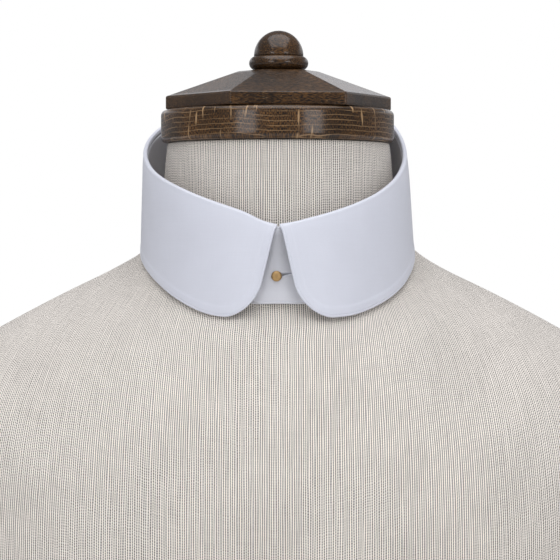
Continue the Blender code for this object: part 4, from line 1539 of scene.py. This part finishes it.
def floor_finish():
    """Pale matt paper that runs out into the white of the room."""
    finish, tree, shader = new_finish("pale_paper", PAPER, 0.9)
    place = add_node(tree, "ShaderNodeTexCoord").outputs["Object"]
    uneven = placed(tree, mottle_group(), {"Vector": place, "Patches A Metre": 2.0, "Low": 0.99, "High": 1.01})
    tree.links.new(scaled_colour(tree, PAPER, uneven["Value"]), shader.inputs["Base Color"])
    out = add_node(tree, "ShaderNodeVectorMath", {0: place}, operation="LENGTH").outputs["Value"]
    tree.links.new(held_range(tree, out, (FLOOR_RADIUS, FLOOR_FADES_FROM)), shader.inputs["Alpha"])
    return finish


class COLLAR_OT_make_leaf(bpy.types.Operator):
    """Make the turned-down leaf with its edge stitching"""

    bl_idname = "collar.make_leaf"
    bl_label = "Leaf"

    def execute(self, context):
        sizes = context.scene.collar_sizes
        collar = WornCollar(sizes)
        finish = cotton_finish("starched_leaf_cotton", sizes.colour, 0.0)
        leaf = show("collar_leaf_cloth", leaf_mesh(collar), finish, "cotton", "collar_leaf")
        mesh = thread_mesh("leaf_thread", leaf_stitches(collar), sizes.stitch_pitch * STITCH_SHARE, sizes.thread)
        thread = show("leaf_stitching", mesh, thread_finish(sizes), "cotton")
        return {"FINISHED"}


class COLLAR_OT_make_band(bpy.types.Operator):
    """Make the standing band with its stitching and bound buttonholes"""

    bl_idname = "collar.make_band"
    bl_label = "Band"

    def execute(self, context):
        sizes = context.scene.collar_sizes
        collar = WornCollar(sizes)
        # The band's cotton: its less blue tone and its darkened front are painted shade.
        finish = cotton_finish("starched_band_cotton", sizes.band_colour_shade_tinted, sizes.painted_shade_strength)
        band = show("collar_band_cloth", band_mesh(collar), finish, "cotton", "collar_band")
        mesh = thread_mesh("band_thread", band_stitches(collar), sizes.stitch_pitch * STITCH_SHARE, sizes.thread)
        thread = show("band_stitching", mesh, thread_finish(sizes), "cotton")
        binding_thread = sizes.thread * BINDING_THREAD
        bound = thread_mesh("buttonhole_thread", buttonhole_stitches(collar), BINDING_STITCH, binding_thread)
        binding = show("buttonhole_binding", bound, thread_finish(sizes), "cotton")
        return {"FINISHED"}


class COLLAR_OT_make_stud(bpy.types.Operator):
    """Make the brass stud that closes the band"""

    bl_idname = "collar.make_stud"
    bl_label = "Stud"

    def execute(self, context):
        sizes = context.scene.stud_sizes
        place, shank = stud_place(WornCollar(context.scene.collar_sizes), sizes)
        mesh = turned_mesh("stud", stud_profile(sizes, shank), STUD_SIDES)
        mesh.transform(place)
        show("brass_stud", mesh, brass_finish(sizes), "brass", "collar_stud")
        return {"FINISHED"}


class COLLAR_OT_make_bust(bpy.types.Operator):
    """Make the linen-covered bust"""

    bl_idname = "collar.make_bust"
    bl_label = "Bust"

    def execute(self, context):
        sizes = context.scene.bust_sizes
        mesh = bust_mesh(WornCollar(context.scene.collar_sizes), sizes)
        bust = show("form_linen", mesh, linen_finish(sizes), "linen", "form_body")
        return {"FINISHED"}


class COLLAR_OT_make_wooden_top(bpy.types.Operator):
    """Make the neck ring, the six-sided cap and the knob"""

    bl_idname = "collar.make_wooden_top"
    bl_label = "Wooden top"

    def execute(self, context):
        sizes = context.scene.wood_sizes
        ring_oak = wood_finish("ring_oak", sizes, "grain", {"Line Pitch": 0.0023}, (0.75, 0.9), 0.9)
        fine = {
            "Line Pitch": 0.0011,
            "Line Width": 0.5,
            "Pores A Metre": (420.0, 3600.0, 3600.0),
            "Rays A Metre": (500.0, 3200.0, 2600.0),
        }
        block_oak = wood_finish("block_oak", sizes, None, fine, (0.0, 0.35), 0.72)
        pieces = (
            ("oak_ring", ring_mesh(sizes), ring_oak, "neck_ring", RING_X, 0.0),
            ("oak_cap", cap_mesh(sizes), block_oak, "neck_cap", WOOD_X, sizes.cap_turn),
            ("oak_knob", knob_mesh(sizes), block_oak, "neck_knob", WOOD_X, 0.0),
        )
        for name, mesh, finish, node, x, turn in pieces:
            mesh.transform(Matrix.Translation((x, WOOD_Y, COLLAR_LEVEL)) @ Matrix.Rotation(turn, 4, "Z"))
            show(name, mesh, finish, "dark_wood", node)
        return {"FINISHED"}


def area_light(name, place, size, power):
    """A soft square light that faces the neck."""
    light = bpy.data.lights.new(name, "AREA")
    light.shape = "SQUARE"
    light.size = size
    light.energy = power
    light.color = LIGHT_COLOUR
    made = bpy.data.objects.new(name, light)
    made.location = place
    made.rotation_euler = (Vector(LIGHTS_AIM) - Vector(place)).to_track_quat("-Z", "Y").to_euler()
    bpy.context.scene.collection.objects.link(made)


class COLLAR_OT_make_studio(bpy.types.Operator):
    """Make the pale floor, the soft lights and the camera"""

    bl_idname = "collar.make_studio"
    bl_label = "Studio"

    def execute(self, context):
        settings = context.scene.studio_settings
        floor = bpy.data.meshes.new("floor")
        surface = bmesh.new()
        bmesh.ops.create_circle(surface, cap_ends=True, segments=FLOOR_SIDES, radius=FLOOR_RADIUS)
        surface.to_mesh(floor)
        surface.free()
        floor.materials.append(floor_finish())
        ground = bpy.data.objects.new("studio_floor", floor)
        ground.location.z = CAD_BOX[0][2]
        context.scene.collection.objects.link(ground)
        make_world(settings)
        for side, place, size in SOFTBOXES:
            area_light(side + "_softbox", place, size, getattr(settings, side))
        camera = bpy.data.cameras.new("front_view")
        camera.sensor_fit = "HORIZONTAL"
        camera.sensor_width = SENSOR_WIDTH
        camera.lens = camera.sensor_width * settings.distance / settings.frame_width
        camera.clip_start = CLIP_START
        made = bpy.data.objects.new("front_view", camera)
        made.location = (settings.aim_x, -settings.distance, COLLAR_LEVEL)
        made.rotation_euler = (math.pi / 2, 0, 0)
        context.scene.collection.objects.link(made)
        context.scene.camera = made
        context.scene.view_settings.view_transform = "Standard"
        return {"FINISHED"}


def make_world(settings):
    """A white room with a bright strip low down behind, plain white where it is seen."""
    world = bpy.data.worlds.new("white_room")
    world.use_nodes = True
    bpy.context.scene.world = world
    tree = world.node_tree
    background = tree.nodes["Background"]
    seen = add_node(tree, "ShaderNodeBackground", {"Color": (1.0, 1.0, 1.0, 1.0), "Strength": 1.0})
    background.inputs["Color"].default_value = (*LIGHT_COLOUR, 1.0)
    toward = add_node(
        tree, "ShaderNodeSeparateXYZ", {0: add_node(tree, "ShaderNodeTexCoord").outputs["Generated"]}
    ).outputs
    rising = held_range(tree, toward["Z"], STRIP_RISES)
    falling = held_range(tree, toward["Z"], STRIP_FALLS, (1.0, 0.0))
    behind = held_range(tree, toward["Y"], STRIP_BEHIND)
    strip = maths(tree, "MULTIPLY", rising, falling)
    strip = maths(tree, "MULTIPLY", maths(tree, "MULTIPLY", strip, behind), settings.backdrop)
    tree.links.new(maths(tree, "ADD", strip, settings.ambient), background.inputs["Strength"])
    light_path = tree.nodes.new("ShaderNodeLightPath")
    mix = tree.nodes.new("ShaderNodeMixShader")
    tree.links.new(light_path.outputs["Is Camera Ray"], mix.inputs[0])
    tree.links.new(background.outputs[0], mix.inputs[1])
    tree.links.new(seen.outputs[0], mix.inputs[2])
    tree.links.new(mix.outputs[0], tree.nodes["World Output"].inputs["Surface"])


OPERATORS = (
    COLLAR_OT_make_bust,
    COLLAR_OT_make_leaf,
    COLLAR_OT_make_band,
    COLLAR_OT_make_stud,
    COLLAR_OT_make_wooden_top,
    COLLAR_OT_make_studio,
)
SETTINGS = {
    "collar_sizes": CollarSizes,
    "stud_sizes": StudSizes,
    "bust_sizes": BustSizes,
    "wood_sizes": WoodSizes,
    "studio_settings": StudioSettings,
}


class COLLAR_PT_pieces(bpy.types.Panel):
    """The pieces of the collar and its bust"""

    bl_idname = "COLLAR_PT_pieces"
    bl_label = "Club collar"
    bl_space_type = "VIEW_3D"
    bl_region_type = "UI"
    bl_category = "Collar"

    def draw(self, context):
        for operator in OPERATORS:
            self.layout.operator(operator.bl_idname)


def register():
    """Registers the settings, the operators and the panel."""
    for name, group in SETTINGS.items():
        bpy.utils.register_class(group)
        setattr(bpy.types.Scene, name, PointerProperty(type=group))
    for shown in (*OPERATORS, COLLAR_PT_pieces):
        bpy.utils.register_class(shown)


def unregister():
    """Takes away what register made."""
    for shown in (COLLAR_PT_pieces, *OPERATORS):
        bpy.utils.unregister_class(shown)
    for name, group in SETTINGS.items():
        delattr(bpy.types.Scene, name)
        bpy.utils.unregister_class(group)


def main():
    """Makes every piece and the studio."""
    register()
    bpy.ops.collar.make_bust()
    bpy.ops.collar.make_leaf()
    bpy.ops.collar.make_band()
    bpy.ops.collar.make_stud()
    bpy.ops.collar.make_wooden_top()
    bpy.ops.collar.make_studio()


if __name__ == "__main__":
    main()
